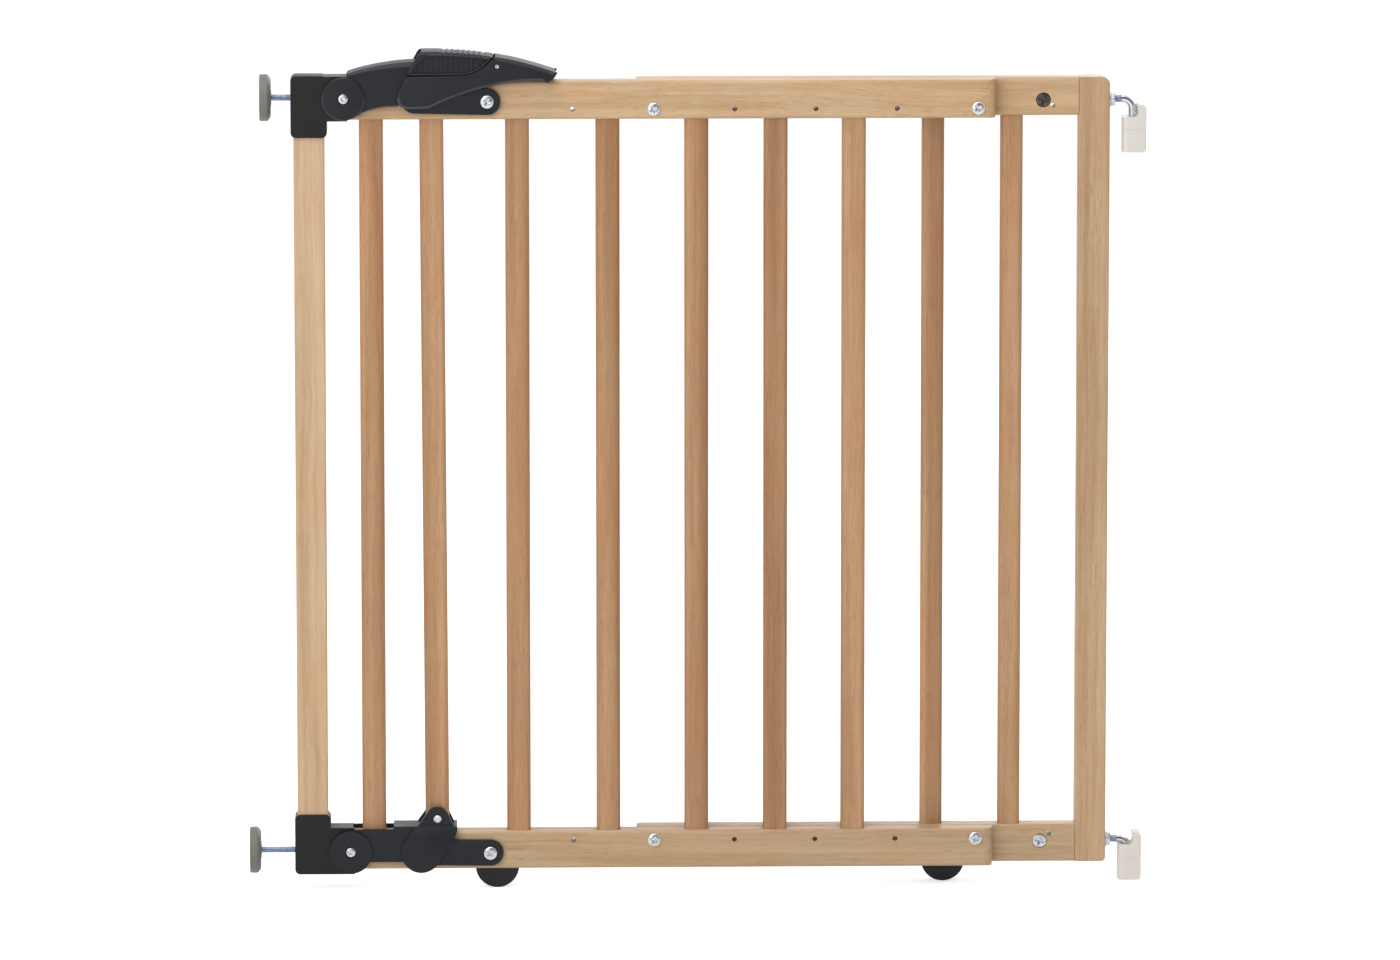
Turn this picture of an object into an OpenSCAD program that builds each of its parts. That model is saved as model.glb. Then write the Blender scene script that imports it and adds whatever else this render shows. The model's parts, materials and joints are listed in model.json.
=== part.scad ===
// Wooden pressure-fit safety gate: two barred panels that slide over each other to set
// the width, hung on wall hooks at the right and clamped by a lever toggle at the left.
// X runs along the gate towards the hinge wall, Y away from the user's side, Z up.
// The origin is the middle of the lower wall bracket's back face.

/* [Frame] */
// Height of the two panels, over both rails
panel_h = 765; // [740:1:800]
// Height of a rail
rail_h = 37; // [34:1:40]
// Thickness of a rail, and so of each panel
rail_t = 22; // [20:1:24]
// Radius along the edges of the rails
rail_edge = 3; // [1:0.5:4]
// Gap from the floor to the bottom rails
floor_gap = 19; // [15:1:25]

/* [Bars] */
// Width of a front bar
bar_w = 23; // [20:0.5:24]
// Width of a rear bar
rear_bar_w = 21.5; // [20:0.5:23]
// Depth of a bar
bar_t = 16; // [12:1:18]
// Pitch of the rear bars
bar_pitch = 75.5; // [74:0.5:77]

/* [Width setting] */
// Pitch of the holes that set the width
hole_pitch = 77.7; // [75:0.1:79]
// Diameter of those holes
hole_d = 4.8; // [4:0.1:6]

/* [Clamp] */
// Width of the clamp post
post_w = 29.5; // [28:0.5:31]
// Distance from a lever pivot to its knee
knee_arm = 68; // [66:0.5:70]
// Diameter of a wall pad
pad_d = 45; // [40:1:50]
// Diameter of the threaded spindles
spindle_d = 6.4; // [6:0.1:7]

/* [Hinge side] */
// Width of the hinge stile
stile_w = 30; // [28:1:32]
// Diameter of the hook bolts
hook_d = 8; // [7.5:0.1:8.5]
// Height of a wall bracket
bracket_h = 46; // [44:1:50]
// Depth of a wall bracket across the wall
bracket_w = 22; // [20:1:26]

/* [Hidden] */

$fn = 48;
cut = 0.5;      // how far a cutting shape runs past the face it cuts
play = 0.3;     // running gap between pieces that slide past each other
fit = 0.1;      // gap of a joint that is glued or pressed
pin_play = 0.05; // radial play of a pin in its hole

black = [0.19, 0.20, 0.22];
charcoal = [0.23, 0.23, 0.22];
beech = [0.80, 0.65, 0.47];
bar_beech = [0.74, 0.55, 0.39];
zinc = [0.68, 0.72, 0.76];
pad_grey = [0.49, 0.49, 0.46];
warm_white = [0.87, 0.85, 0.82];

// heights
floor_z = -24;
bottom_z = floor_z + floor_gap;
top_z = bottom_z + panel_h;
low_rail_z = bottom_z + rail_h / 2;
high_rail_z = top_z - rail_h / 2;
hole_inset = 9;          // holes sit this far from the rail's middle, towards the bars
stud_inset_low = 2;
stud_inset_high = 3.5;
low_stud_z = low_rail_z + stud_inset_low;
high_stud_z = high_rail_z - stud_inset_high;

// planes: the rear panel is centred on Y = 0, the front panel one thickness nearer
rear_y = 0;
front_y = -rail_t;

// hinge side
hook_x = -12.5;
stile_x = -50;
stile_right = stile_x + stile_w / 2;
stile_left = stile_x - stile_w / 2;
barrel_x = -99;
barrel_d = 13.4;
extra_hole_x = -90;

// panels along X
rear_rail_left = -490;
front_rail_left = -767;
front_rail_right = -146;
rear_bar_last = -129;
rear_bar_count = 5;
front_bar_x = [-743.7, -604, -517.5, -432.5, -356.5, -281.5];
last_hole_x = -162.7;
hole_count = 6;
screw_slots = [0, 4];
tenon = 14;
bar_edge = 5;
end_r = 10;              // rounding of the rails' free ends, seen from above

// clamp toggle; positions of its pins
upper_pivot = [-770, high_rail_z + 2.1];
lower_pivot = [-766.5, low_rail_z - 0.7];
upper_screw = upper_pivot + [137.3, -3.1];
lower_screw = lower_pivot + [134.7, -1.6];
rod_pin = [83.7, 32];
upper_knee = upper_pivot + (upper_screw - upper_pivot) * knee_arm / norm(upper_screw - upper_pivot);
lower_knee = lower_pivot + (lower_screw - lower_pivot) * knee_arm / norm(lower_screw - lower_pivot);
upper_rod_end = upper_pivot + rod_pin;
lower_rod_end = lower_pivot + rod_pin;
grip_pivot = [147.1, 30.7];
draw = 8.2;              // how far the lever pulls the post towards the rails

// half-thickness layers of the clamp, measured from the front panel's middle plane
rail_half = rail_t / 2;
lug_in = rail_half + play;
lug_out = lug_in + 1.9;
cheek_in = lug_out + play;
cheek_out = cheek_in + 3.3;
link_in = rail_half + play;
link_out = link_in + 4.5;
shell_in = link_out + play;
shell_out = shell_in + 4.3;
disc_r = 20.6;
link_r = 12.8;
pivot_d = 6;
knee_pin_d = 7;
pin_d = 5;

// clamp post
post_x = -803;
corner_w = 34.7;
corner_left = post_x - corner_w / 2;
corner_right = post_x + corner_w / 2;
upper_corner_z = [top_z - 54, top_z + 5.4];
lower_corner_z = [bottom_z - 4.5, bottom_z + 54];
upper_pad_x = -850;
lower_pad_x = -864;
pad_t = 11.2;
spindle_l = 47;

// ---------- general shapes ----------

module rounded_rect(w, h, r) {
    square([w - 2 * r, h], center = true);
    square([w, h - 2 * r], center = true);
    for (sx = [-1, 1], sy = [-1, 1])
        translate([sx * (w / 2 - r), sy * (h / 2 - r)]) circle(r);
}

// extrudes an X-Z outline along Y, from y0 to y1
module slab(y0, y1) {
    translate([0, y1, 0]) rotate([90, 0, 0]) linear_extrude(y1 - y0) children();
}

// puts a shape on both faces of the front panel; it is drawn for the user's side
module both_faces() {
    translate([0, front_y, 0]) children();
    translate([0, front_y, 0]) mirror([0, 1, 0]) children();
}

module along_y(at, d, y0, y1) {
    translate([at[0], y0, at[1]]) rotate([-90, 0, 0]) cylinder(d = d, h = y1 - y0);
}

module along_x(x0, x1, y, z, d) {
    translate([x0, y, z]) rotate([0, 90, 0]) cylinder(d = d, h = x1 - x0);
}

// a flat capsule in X-Z between two points
module capsule(a, b, r) {
    run = b - a;
    translate(a) rotate(atan2(run[1], run[0])) {
        circle(r);
        translate([0, -r]) square([norm(run), 2 * r]);
        translate([norm(run), 0]) circle(r);
    }
}

// pan head with a cross recess, facing the user's side; its underside is at y
module pan_head(at, d, t, y) {
    difference() {
        translate([at[0], y, at[1]]) rotate([90, 0, 0]) {
            cylinder(d = d, h = t * 0.45);
            translate([0, 0, t * 0.45]) cylinder(d1 = d, d2 = d * 0.72, h = t * 0.55);
        }
        for (turn = [20, 110])
            translate([at[0], y - t, at[1]]) rotate([0, turn, 0])
                cube([d * 0.5, t, d * 0.13], center = true);
    }
}

module hex_nut(at, across, t, y0, bore) {
    difference() {
        translate([at[0], y0, at[1]]) rotate([-90, 0, 0])
            cylinder(d = across / cos(30), h = t, $fn = 6);
        along_y(at, bore, y0 - cut, y0 + t + cut);
    }
}

// ---------- wall brackets ----------

lower_bracket_z = 0;
upper_bracket_z = 710;
socket_w = 22.5;
socket_drop = 12;        // from the bracket's top down to its socket's
lower_socket_top = lower_bracket_z + bracket_h / 2 - socket_drop;
hook_bend = 9.5;
mouth_r = 8;
mouth_depth = lower_socket_top - (low_stud_z - hook_bend);
bracket_plate = 8.2;
cover_h = 22;
cover_skin = 1.6;
bracket_hole_d = 4.5;
upper_hole_up = 17.5;
lower_hole_down = 14;

// plan of the socket: square against the wall, rounded towards the gate
module socket_plan() {
    translate([-socket_w / 2, 0]) rounded_rect(socket_w, bracket_w, 5);
    translate([-bracket_plate, -bracket_w / 2]) square([bracket_plate, bracket_w]);
}

module wall_bracket(z) {
    low = z - bracket_h / 2;
    socket_top = z + bracket_h / 2 - socket_drop;
    color(warm_white) difference() {
        union() {
            translate([0, 0, low + cover_h]) linear_extrude(socket_top - low - cover_h)
                socket_plan();
            translate([0, 0, low + cover_skin + fit]) linear_extrude(cover_h - cover_skin)
                socket_core();
            slab(-bracket_w / 2, bracket_w / 2) bracket_plate_outline(z, socket_top);
        }
        translate([hook_x, 0, low + cover_h - 6])
            cylinder(d = hook_d + 2 * pin_play, h = bracket_h);
        translate([hook_x, 0, socket_top - mouth_depth]) hook_mouth();
        along_x(-socket_w - cut, cut, 0, z + upper_hole_up, bracket_hole_d);
        along_x(-socket_w - cut, cut, 0, z - lower_hole_down, bracket_hole_d);
        along_x(-socket_w, -bracket_plate + 3, 0, z - lower_hole_down, 9);
    }
}

// trumpet mouth of the socket, in front of the plate: it follows the hook's bend with a gap,
// whichever way the gate swings
module hook_mouth() {
    bend_gap = hook_bend - hook_d / 2 - play;
    high = mouth_depth + 3;
    intersection() {
        rotate_extrude() difference() {
            square([mouth_r, high]);
            translate([hook_bend, 0]) circle(bend_gap);
        }
        translate([-mouth_r - cut, -mouth_r - cut, -cut])
            cube([mouth_r + cut - bracket_plate - hook_x, 2 * (mouth_r + cut), high + 2 * cut]);
    }
}

// the narrower stub that the snap cover slides over
module socket_core() {
    translate([-socket_w / 2 + cover_skin / 2, 0])
        rounded_rect(socket_w - cover_skin, bracket_w - 2 * cover_skin, 4);
}

// the plate above the socket, with a hollow curve where it meets the socket's top
module bracket_plate_outline(z, socket_top) {
    plate_top = z + bracket_h / 2;
    r = 5;
    difference() {
        union() {
            translate([-bracket_plate, socket_top - cut])
                square([bracket_plate, plate_top - socket_top - r + cut]);
            translate([-bracket_plate, plate_top - r - cut]) square([bracket_plate - r, r + cut]);
            translate([-r, plate_top - r]) circle(r);
            translate([hook_x, socket_top - cut]) square([r, r + cut]);
        }
        translate([hook_x, socket_top + r]) circle(r);
        translate([hook_x - r, socket_top + r]) square([-bracket_plate - hook_x + r, bracket_h]);
    }
}

module bracket_cover(z) {
    low = z - bracket_h / 2;
    color(warm_white) difference() {
        translate([0, 0, low]) linear_extrude(cover_h - fit) socket_plan();
        translate([0, 0, low + cover_skin]) linear_extrude(bracket_h)
            translate([-socket_w / 2 + cover_skin / 2, 0])
                rounded_rect(socket_w - cover_skin + 2 * fit, bracket_w - 2 * cover_skin + 2 * fit, 4);
        translate([-1, -bracket_w, low - 1]) cube([10, 2 * bracket_w, bracket_h]);
    }
}

// ---------- hooks and their fastenings ----------

thread_d = 7.6;
nut_x = stile_right;
barrel_hole_d = barrel_d + 1;
shank_play = 0.4;

// threaded shank through the stile, a quarter bend, and a plain leg down into the bracket
module hook_bolt(stud_z, leg_end) {
    bend_x = hook_x - hook_bend;
    color(zinc) {
        along_x(barrel_x - 12, bend_x - 5, rear_y, stud_z, thread_d);
        along_x(bend_x - 5, bend_x, rear_y, stud_z, hook_d);
        translate([bend_x, rear_y, stud_z - hook_bend]) rotate([90, 0, 0])
            rotate_extrude(angle = 90) translate([hook_bend, 0]) circle(d = hook_d);
        translate([hook_x, rear_y, leg_end])
            cylinder(d = hook_d - 0.04, h = stud_z - hook_bend - leg_end + 0.01);
    }
}

module flange_nut(stud_z) {
    difference() {
        translate([nut_x, rear_y, stud_z]) rotate([0, 90, 0]) {
            cylinder(d = 17, h = 1.8);
            cylinder(d = 13 / cos(30), h = 5.2, $fn = 6);
        }
        along_x(nut_x - cut, nut_x + 7, rear_y, stud_z, thread_d);
    }
}

module flange_nuts() {
    color(zinc) for (z = [low_stud_z, high_stud_z]) flange_nut(z);
}

// cross dowel in the rail that the hook bolt screws into
module barrel_nut(stud_z) {
    difference() {
        along_y([barrel_x, stud_z], barrel_d, -rail_half + 0.6, rail_half - 3);
        along_x(barrel_x - 20, barrel_x + 20, rear_y, stud_z, thread_d);
        for (turn = [15, 105])
            translate([barrel_x, -rail_half + 0.6, stud_z]) rotate([0, turn, 0])
                cube([8, 2.4, 1.4], center = true);
    }
}

module barrel_nuts() {
    color("dimgray") for (z = [low_stud_z, high_stud_z]) barrel_nut(z);
}

// ---------- rear panel ----------

// the stile from the front, with the two corners on the wall's side rounded
module stile_outline() {
    r = 8;
    low_r = 4;
    translate([stile_left, bottom_z]) square([stile_w - low_r, panel_h - r]);
    translate([stile_left, bottom_z + low_r]) square([stile_w, panel_h - low_r - r]);
    translate([stile_left, top_z - r - cut]) square([stile_w - r, r + cut]);
    translate([stile_right - r, top_z - r]) circle(r);
    translate([stile_right - low_r, bottom_z + low_r]) circle(low_r);
}

// a stile rounded along its four long edges
module hinge_stile() {
    color(beech) difference() {
        intersection() {
            slab(-rail_half, rail_half) stile_outline();
            translate([stile_x, 0, bottom_z]) linear_extrude(panel_h)
                rounded_rect(stile_w, rail_t, 2);
        }
        for (z = [low_stud_z, high_stud_z])
            along_x(stile_left - cut, stile_right + cut, rear_y, z, hook_d + shank_play);
    }
}

// one rail lying along X with rounded edges
module rail_body(x0, x1, y, z) {
    translate([x0, y, z]) rotate([90, 0, 90]) linear_extrude(x1 - x0)
        rounded_rect(rail_t, rail_h, rail_edge);
}

// upright cutter that rounds one corner of a rail's free end; turn_x and turn_y say which corner
module end_round(x, y, turn_x, turn_y, z) {
    side = end_r + cut;
    translate([x - turn_x * end_r, y - turn_y * end_r, z - rail_h]) difference() {
        translate([turn_x > 0 ? 0 : -side, turn_y > 0 ? 0 : -side, 0]) cube([side, side, 2 * rail_h]);
        translate([0, 0, -cut]) cylinder(r = end_r, h = 2 * rail_h + 2 * cut);
    }
}

// blind slot for a bar's end, cut from the side of the rail that faces the bars
module mortise(x, y, z, w, up) {
    z0 = up ? z + rail_h / 2 - tenon : z - rail_h / 2 - cut;
    translate([x, y, z0]) linear_extrude(tenon + cut)
        rounded_rect(w + 2 * fit, bar_t + 2 * fit, bar_edge);
}

function hole_x(i) = last_hole_x - i * hole_pitch;
function rear_bar_x(i) = rear_bar_last - i * bar_pitch;

module rear_rail(z, up) {
    stud_z = up ? low_stud_z : high_stud_z;
    hole_z = up ? z + hole_inset : z - hole_inset;
    color(beech) difference() {
        rail_body(rear_rail_left, stile_left, rear_y, z);
        end_round(rear_rail_left, rear_y + rail_half, -1, 1, z);
        for (i = [0:rear_bar_count - 1]) mortise(rear_bar_x(i), rear_y, z, rear_bar_w, up);
        for (i = [0:hole_count - 2]) along_y([hole_x(i), hole_z], hole_d, -rail_t, rail_t);
        along_y([extra_hole_x, hole_z], hole_d, -rail_t, rail_t);
        along_y([barrel_x, stud_z], barrel_hole_d, -rail_t, rail_half - 2.5);
        along_x(barrel_x - 16, stile_left + cut, rear_y, stud_z, hook_d + shank_play);
    }
}

module rear_top_rail() {
    rear_rail(high_rail_z, false);
}

module rear_bottom_rail() {
    rear_rail(low_rail_z, true);
}

// an upright bar between the rails, its ends held in their mortises
module bar(x, y, w) {
    low = bottom_z + rail_h - tenon + fit;
    high = top_z - rail_h + tenon - fit;
    color(bar_beech) translate([x, y, low]) linear_extrude(high - low)
        rounded_rect(w, bar_t, bar_edge);
}

module rear_bar(i) {
    bar(rear_bar_x(rear_bar_count - i), rear_y, rear_bar_w);
}

// ---------- front panel ----------

rod_t = 14;
rod_mortise_w = 40;
rod_mortise_x = upper_rod_end[0] - 4.5;
slot_back = 14;
front_glide_x = -625;
rear_glide_x = -193;
front_hole_z_low = low_rail_z + hole_inset;
front_hole_z_high = high_rail_z - hole_inset;

module front_rail(z, up, pivot, screw) {
    hole_z = up ? front_hole_z_low : front_hole_z_high;
    color(beech) difference() {
        rail_body(front_rail_left, front_rail_right, front_y, z);
        end_round(front_rail_right, front_y - rail_half, 1, -1, z);
        for (x = front_bar_x) mortise(x, front_y, z, bar_w, up);
        for (i = [0:hole_count - 1])
            along_y([hole_x(i), hole_z], hole_d, front_y - rail_t, front_y + rail_t);
        along_y(screw, pivot_d + 2 * fit, front_y - rail_t, front_y + rail_t);
        slab(front_y - rail_t, front_y + rail_t)
            capsule(pivot - [slot_back, 0], pivot + [draw, 0], pivot_d / 2 + 1);
        if (!up) translate([rod_mortise_x, front_y, z])
            cube([rod_mortise_w, rod_t + 1.4, rail_h + 2 * cut], center = true);
    }
}

module front_top_rail() {
    front_rail(high_rail_z, false, upper_pivot, upper_screw);
}

module front_bottom_rail() {
    front_rail(low_rail_z, true, lower_pivot, lower_screw);
}

module front_bar(i) {
    bar(front_bar_x[i], front_y, bar_w);
}

// half-round foot screwed under a rail
glide_r = 21;
glide_t = 14;
glide_screw_d = 4;

module glide(x, y) {
    color(black) difference() {
        slab(y - glide_t / 2, y + glide_t / 2) intersection() {
            translate([x, bottom_z + glide_r - floor_gap]) circle(glide_r, $fn = 96);
            translate([x - 2 * glide_r, bottom_z - 2 * glide_r])
                square([4 * glide_r, 2 * glide_r - 0.02]);
        }
        translate([x, y, floor_z - 1]) cylinder(d = glide_screw_d, h = floor_gap + 2);
        translate([x, y, floor_z - 1]) cylinder(d = 8.4, h = 6);
    }
}

module glide_screw(x, y) {
    color(zinc) {
        translate([x, y, floor_z + 2.2]) cylinder(d = 7.6, h = 2.8);
        translate([x, y, floor_z + 4]) cylinder(d = glide_screw_d - fit, h = floor_gap - 4.1);
    }
}

// countersunk-washer screws that hold the two panels at the chosen width
module width_screws() {
    color(zinc) for (slot = screw_slots, z = [front_hole_z_low, front_hole_z_high]) {
        at = [hole_x(slot), z];
        pan_head(at, 12.4, 3.4, front_y - rail_half);
        along_y(at, hole_d - fit, front_y - rail_half - 1, front_y + rail_half - play);
    }
}

// shouldered bolt on which a pair of links turns, with its nut at the back
module link_bolt(at) {
    color(zinc) {
        pan_head(at, 12.4, 3.2, front_y - link_out - play);
        along_y(at, pivot_d, front_y - link_out - play - 1, front_y + link_out + 3.4);
        hex_nut(at, 10, 3, front_y + link_out + play, pivot_d);
    }
}

// steel catch on the top rail that the grip's nose reaches under
module latch_catch() {
    lip_u = upper_pivot[0] + grip_pivot[0] + 2.2;
    color(zinc) translate([0, front_y, top_z]) {
        translate([lip_u, -5, 0]) cube([13, 10, 1.2]);
        translate([lip_u + 3, -5, 0]) cube([1.4, 10, 6.6]);
        translate([lip_u, -5, 5.4]) cube([4.4, 10, 1.2]);
    }
}

// ---------- clamp post, its corners and wall pads ----------

nut_across = 10;
nut_t = 5;
corner_r = 5;
post_end_gap = 9;        // from the spindle's axis to the end of the post
upper_post_end = upper_pivot[1] - post_end_gap;
lower_post_end = lower_pivot[1] + post_end_gap;

module clamp_post() {
    color(beech) translate([post_x, front_y, lower_post_end])
        linear_extrude(upper_post_end - lower_post_end) rounded_rect(post_w, rail_t, 2);
}

// moulded corner: a sleeve on the post's end, closed at the far end, with a forked lug
// that straddles the rail's end and carries the lever's pivot
module corner(z, pivot, lug, up) {
    mid = (z[0] + z[1]) / 2;
    lug_right = pivot[0] + 3.7;
    lug_w = lug_right - corner_right;
    sleeve_z0 = up ? z[0] - cut : pivot[1] + post_end_gap;
    sleeve_z1 = up ? pivot[1] - post_end_gap : z[1] + cut;
    color(charcoal) difference() {
        union() {
            slab(front_y - lug_out, front_y + lug_out) translate([post_x, mid])
                rounded_rect(corner_w, z[1] - z[0], corner_r);
            slab(front_y - lug_out, front_y + lug_out)
                translate([corner_right - corner_r, pivot[1] + lug[0]])
                    square([lug_w + corner_r, lug[1] - lug[0]]);
        }
        translate([post_x, front_y, (sleeve_z0 + sleeve_z1) / 2])
            cube([post_w + 2 * fit, rail_t + 2 * fit, sleeve_z1 - sleeve_z0], center = true);
        // room for the rail's end between the lug's walls
        translate([corner_right + 1, front_y - lug_in, pivot[1] + (up ? lug[0] - cut : lug[0] + 3)])
            cube([lug_w + cut, 2 * lug_in, lug[1] - lug[0] - (up ? 3 - cut : 6)]);
        // notch in the lower lug's top, which the first bar enters as the post is drawn in
        if (!up) translate([lug_right - 1.6, front_y - bar_t / 2 - play, pivot[1] + lug[1] - 4])
            cube([1.6 + cut, bar_t + 2 * play, 4 + cut]);
        along_y(pivot, pivot_d + 2 * fit, front_y - rail_t, front_y + rail_t);
        along_x(corner_left - cut, corner_left + 8, front_y, pivot[1], spindle_d + 0.4);
        along_x(corner_left + 3, corner_right + 2, front_y, pivot[1], spindle_d + 0.8);
        translate([corner_left + 3, front_y, pivot[1]]) rotate([0, 90, 0])
            cylinder(d = (nut_across + 2 * fit) / cos(30), h = nut_t + 2 * fit, $fn = 6);
    }
}

module upper_corner() {
    corner(upper_corner_z, upper_pivot, [-21.8, 21.2], true);
}

module lower_corner() {
    corner(lower_corner_z, lower_pivot, [-22.3, 23.3], false);
}

// captive nuts that the spindles turn in
module spindle_nuts() {
    color(zinc) for (z = [upper_pivot[1], lower_pivot[1]]) difference() {
        translate([corner_left + 3 + fit, front_y, z]) rotate([0, 90, 0])
            cylinder(d = nut_across / cos(30), h = nut_t, $fn = 6);
        along_x(corner_left, corner_left + 12, front_y, z, spindle_d + 2 * pin_play);
    }
}

module spindle(pad_x, z) {
    color(zinc) along_x(pad_x + pad_t - 4, pad_x + pad_t + spindle_l, front_y, z, spindle_d);
}

// soft disc with a flat face to the wall and a coned back
module wall_pad(x, z) {
    color(pad_grey) translate([x, front_y, z]) rotate([0, 90, 0]) difference() {
        union() {
            cylinder(d = pad_d, h = pad_t - 3);
            translate([0, 0, pad_t - 3]) cylinder(d1 = pad_d, d2 = pad_d - 9, h = 3);
        }
        translate([0, 0, pad_t - 4]) cylinder(d = spindle_d, h = 5);
    }
}

pivot_head_d = 9.3;
disc_out = shell_out - 0.9;

// bolt through a lug, with its head sunk in the lever's disc
module pivot_bolt(at) {
    color(zinc) {
        pan_head(at, pivot_head_d, 2, front_y - disc_out + 2);
        along_y(at, pivot_d, front_y - disc_out + 1.5, front_y + disc_out - 2.5);
        hex_nut(at, 9, 2.4, front_y + disc_out - 2.5, pivot_d - 2 * cut);
    }
}

// ---------- lever ----------

// outlines are drawn as distances from the lever's pivot, [along X, along Z]
module at_pivot(pivot, y0, y1) {
    slab(y0, y1) translate(pivot) children();
}

skin = 2.6;
part_top = [[4.1, 24.2], [13, 27.1], [22.6, 29.5], [31.5, 31.4], [40.9, 32.9], [52, 34.4], [64.6, 35.4]];
part_low = [[50.7, -7.3], [37.8, -8.1], [22.6, -11.8], [12, -16.8]];
beak_top = [[145.3, 40.3], [163, 36.9], [183, 31.6], [202.8, 25.4]];
beak_low = [[203.9, 24.4], [199.8, 18.6], [194.5, 15.4], [192.5, 17.6], [176, 16.4], [157, 15.2],
            [142.6, 11.5], [130.4, 9.3], [115, 5.3], [96.7, -0.6], [78, -9.5], [60.5, -9.5],
            [54.5, -6.8], [51.3, -1], [52.5, 6.7], [56, 15], [59.6, 22.4]];
grip_seam = [[114.6, 22.4], [124.5, 24.6], [133, 29.5], [139.5, 35.2], [144.6, 39.9]];
grip_low = [[60.3, 23.3], [113.8, 23.3], [123.8, 25.6], [132.2, 30.4], [138.4, 35.8], [143, 40]];
grip_top = [[141, 40.6], [128, 42.8], [110, 44.3], [92, 45.1], [74.2, 45.2], [71.3, 44]];
boss_in = 8;
boss_out = 15;
boss_r = 6.5;
boss_low = 18.5;
grip_half = 6;
grip_pin_d = 5;
skirt_in = cheek_out + 0.6;

function lowered(points, drop) = [for (p = points) p - [0, drop]];
function reversed(points) = [for (i = [len(points) - 1:-1:0]) points[i]];

module inner_cheek() {
    knee = upper_knee - upper_pivot;
    difference() {
        polygon(concat(part_top, [[64.6, 22], [58, 18], [58, -7.8]], part_low,
                       [[0, -disc_r], [0, 10]]));
        capsule(knee - [2.6, 0], knee, link_r + play);
    }
}

module outer_cheek() {
    polygon(concat(reversed(grip_seam), reversed(beak_low), reversed(beak_top)));
}

// the half of the lever on the user's side; the far half is its mirror image
module lever_half() {
    difference() {
        union() {
            at_pivot(upper_pivot, -disc_out, -cheek_in) circle(disc_r, $fn = 96);
            at_pivot(upper_pivot, -cheek_out, -cheek_in) inner_cheek();
            at_pivot(upper_pivot, -shell_out, -shell_in) outer_cheek();
            at_pivot(upper_pivot, -cheek_out, 0)
                polygon(concat(part_top, reversed(lowered(part_top, skin))));
            at_pivot(upper_pivot, -shell_out, 0)
                polygon(concat(beak_top, reversed(lowered(beak_top, skin))));
            at_pivot(upper_pivot, -shell_out, 0) translate([100, 19.6]) square([12, skin]);
            at_pivot(upper_pivot, -boss_out, -boss_in) union() {
                translate(rod_pin) circle(boss_r);
                translate([rod_pin[0] - boss_r, boss_low])
                    square([2 * boss_r, rod_pin[1] - boss_low]);
            }
            at_pivot(upper_pivot, -shell_out, -boss_in)
                translate([rod_pin[0] - boss_r, boss_low]) square([2 * boss_r, 3.4]);
        }
        along_y(upper_pivot, pivot_d + 2 * pin_play, -rail_t, cut);
        along_y(upper_pivot, pivot_head_d + 1.6, -rail_t, -disc_out + 2.5);
        along_y(upper_pivot + rod_pin, pin_d, -rail_t, cut);
        along_y(upper_pivot + grip_pivot, grip_pin_d, -rail_t, cut);
        along_y(upper_pivot + grip_pivot, grip_pin_d + 1.2, -rail_t, -shell_out + 1.4);
        along_y(upper_knee, knee_pin_d, -shell_out + 2, cut);
    }
}

module lever_front_shell() {
    color(black) translate([0, front_y, 0]) lever_half();
}

module lever_rear_shell() {
    color(black) translate([0, front_y, 0]) mirror([0, 1, 0]) lever_half();
}

// short pins on the inside of the cheeks, on which the links turn
module knee_pins(at) {
    color(zinc) both_faces()
        along_y(at, knee_pin_d, -shell_out + 2 + fit, -link_in - 0.2);
}

module rod_pin_solid(at, half) {
    color(zinc) along_y(at, pin_d - 2 * pin_play, front_y - half, front_y + half);
}

module grip_pin() {
    at = upper_pivot + grip_pivot;
    half = shell_out - 1.4;
    color(zinc) along_y(at, grip_pin_d - fit, front_y - half, front_y + half);
}

// safety grip let into the lever's top: squeezed and lifted, it turns about its pin
module release_grip() {
    color(black) difference() {
        union() {
            both_faces() at_pivot(upper_pivot, -shell_out, -skirt_in)
                polygon(concat(grip_low, grip_top));
            at_pivot(upper_pivot, front_y - shell_out, front_y + shell_out)
                polygon(concat(grip_top, reversed(lowered(grip_top, skin))));
            at_pivot(upper_pivot, front_y - grip_half, front_y + grip_half)
                capsule([126, 39], grip_pivot, 4.6);
            at_pivot(upper_pivot, front_y - 4, front_y + 4)
                polygon([grip_pivot - [3.6, 0], grip_pivot - [3, 11], grip_pivot + [1.9, -11],
                         grip_pivot + [1.9, -8.6], grip_pivot + [0.6, -7], grip_pivot + [3.6, 0]]);
        }
        along_y(upper_pivot + grip_pivot, grip_pin_d + 2 * pin_play, front_y - 20, front_y + 20);
        grip_window();
    }
}

// sunk panel with upright ribs on each side of the grip
module grip_window() {
    low = 24.8;
    first = 70;
    pitch = 4.9;
    for (i = [0:11]) {
        u = first + i * pitch;
        top = 40.6 - 0.03 * i * pitch;
        floor_v = low + (i > 9 ? (i - 9) * 3.4 : 0);
        both_faces() at_pivot(upper_pivot, -shell_out - cut, -shell_out + 1.2)
            translate([u, floor_v]) square([pitch - 1.3, top - floor_v]);
    }
}

// torsion spring round the grip's pin: a helix and two straight legs
spring_wire = 1.1;
spring_r = 3.9;
spring_turns = 4;
spring_leg = 4.6;
spring_steps = 16;       // rings in one turn
spring_sides = 6;

function spring_point(i) =
    let (last = spring_turns * spring_steps,
         a = 360 * min(max(i, 0), last) / spring_steps,
         y = 7 + (spring_wire + 0.2) * min(max(i, 0), last) / spring_steps,
         past = i < 0 ? -1 : (i > last ? 1 : 0),
         round_part = [spring_r * cos(a), y, spring_r * sin(a)])
    round_part + past * spring_leg * [-sin(a), 0, cos(a)];

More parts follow.
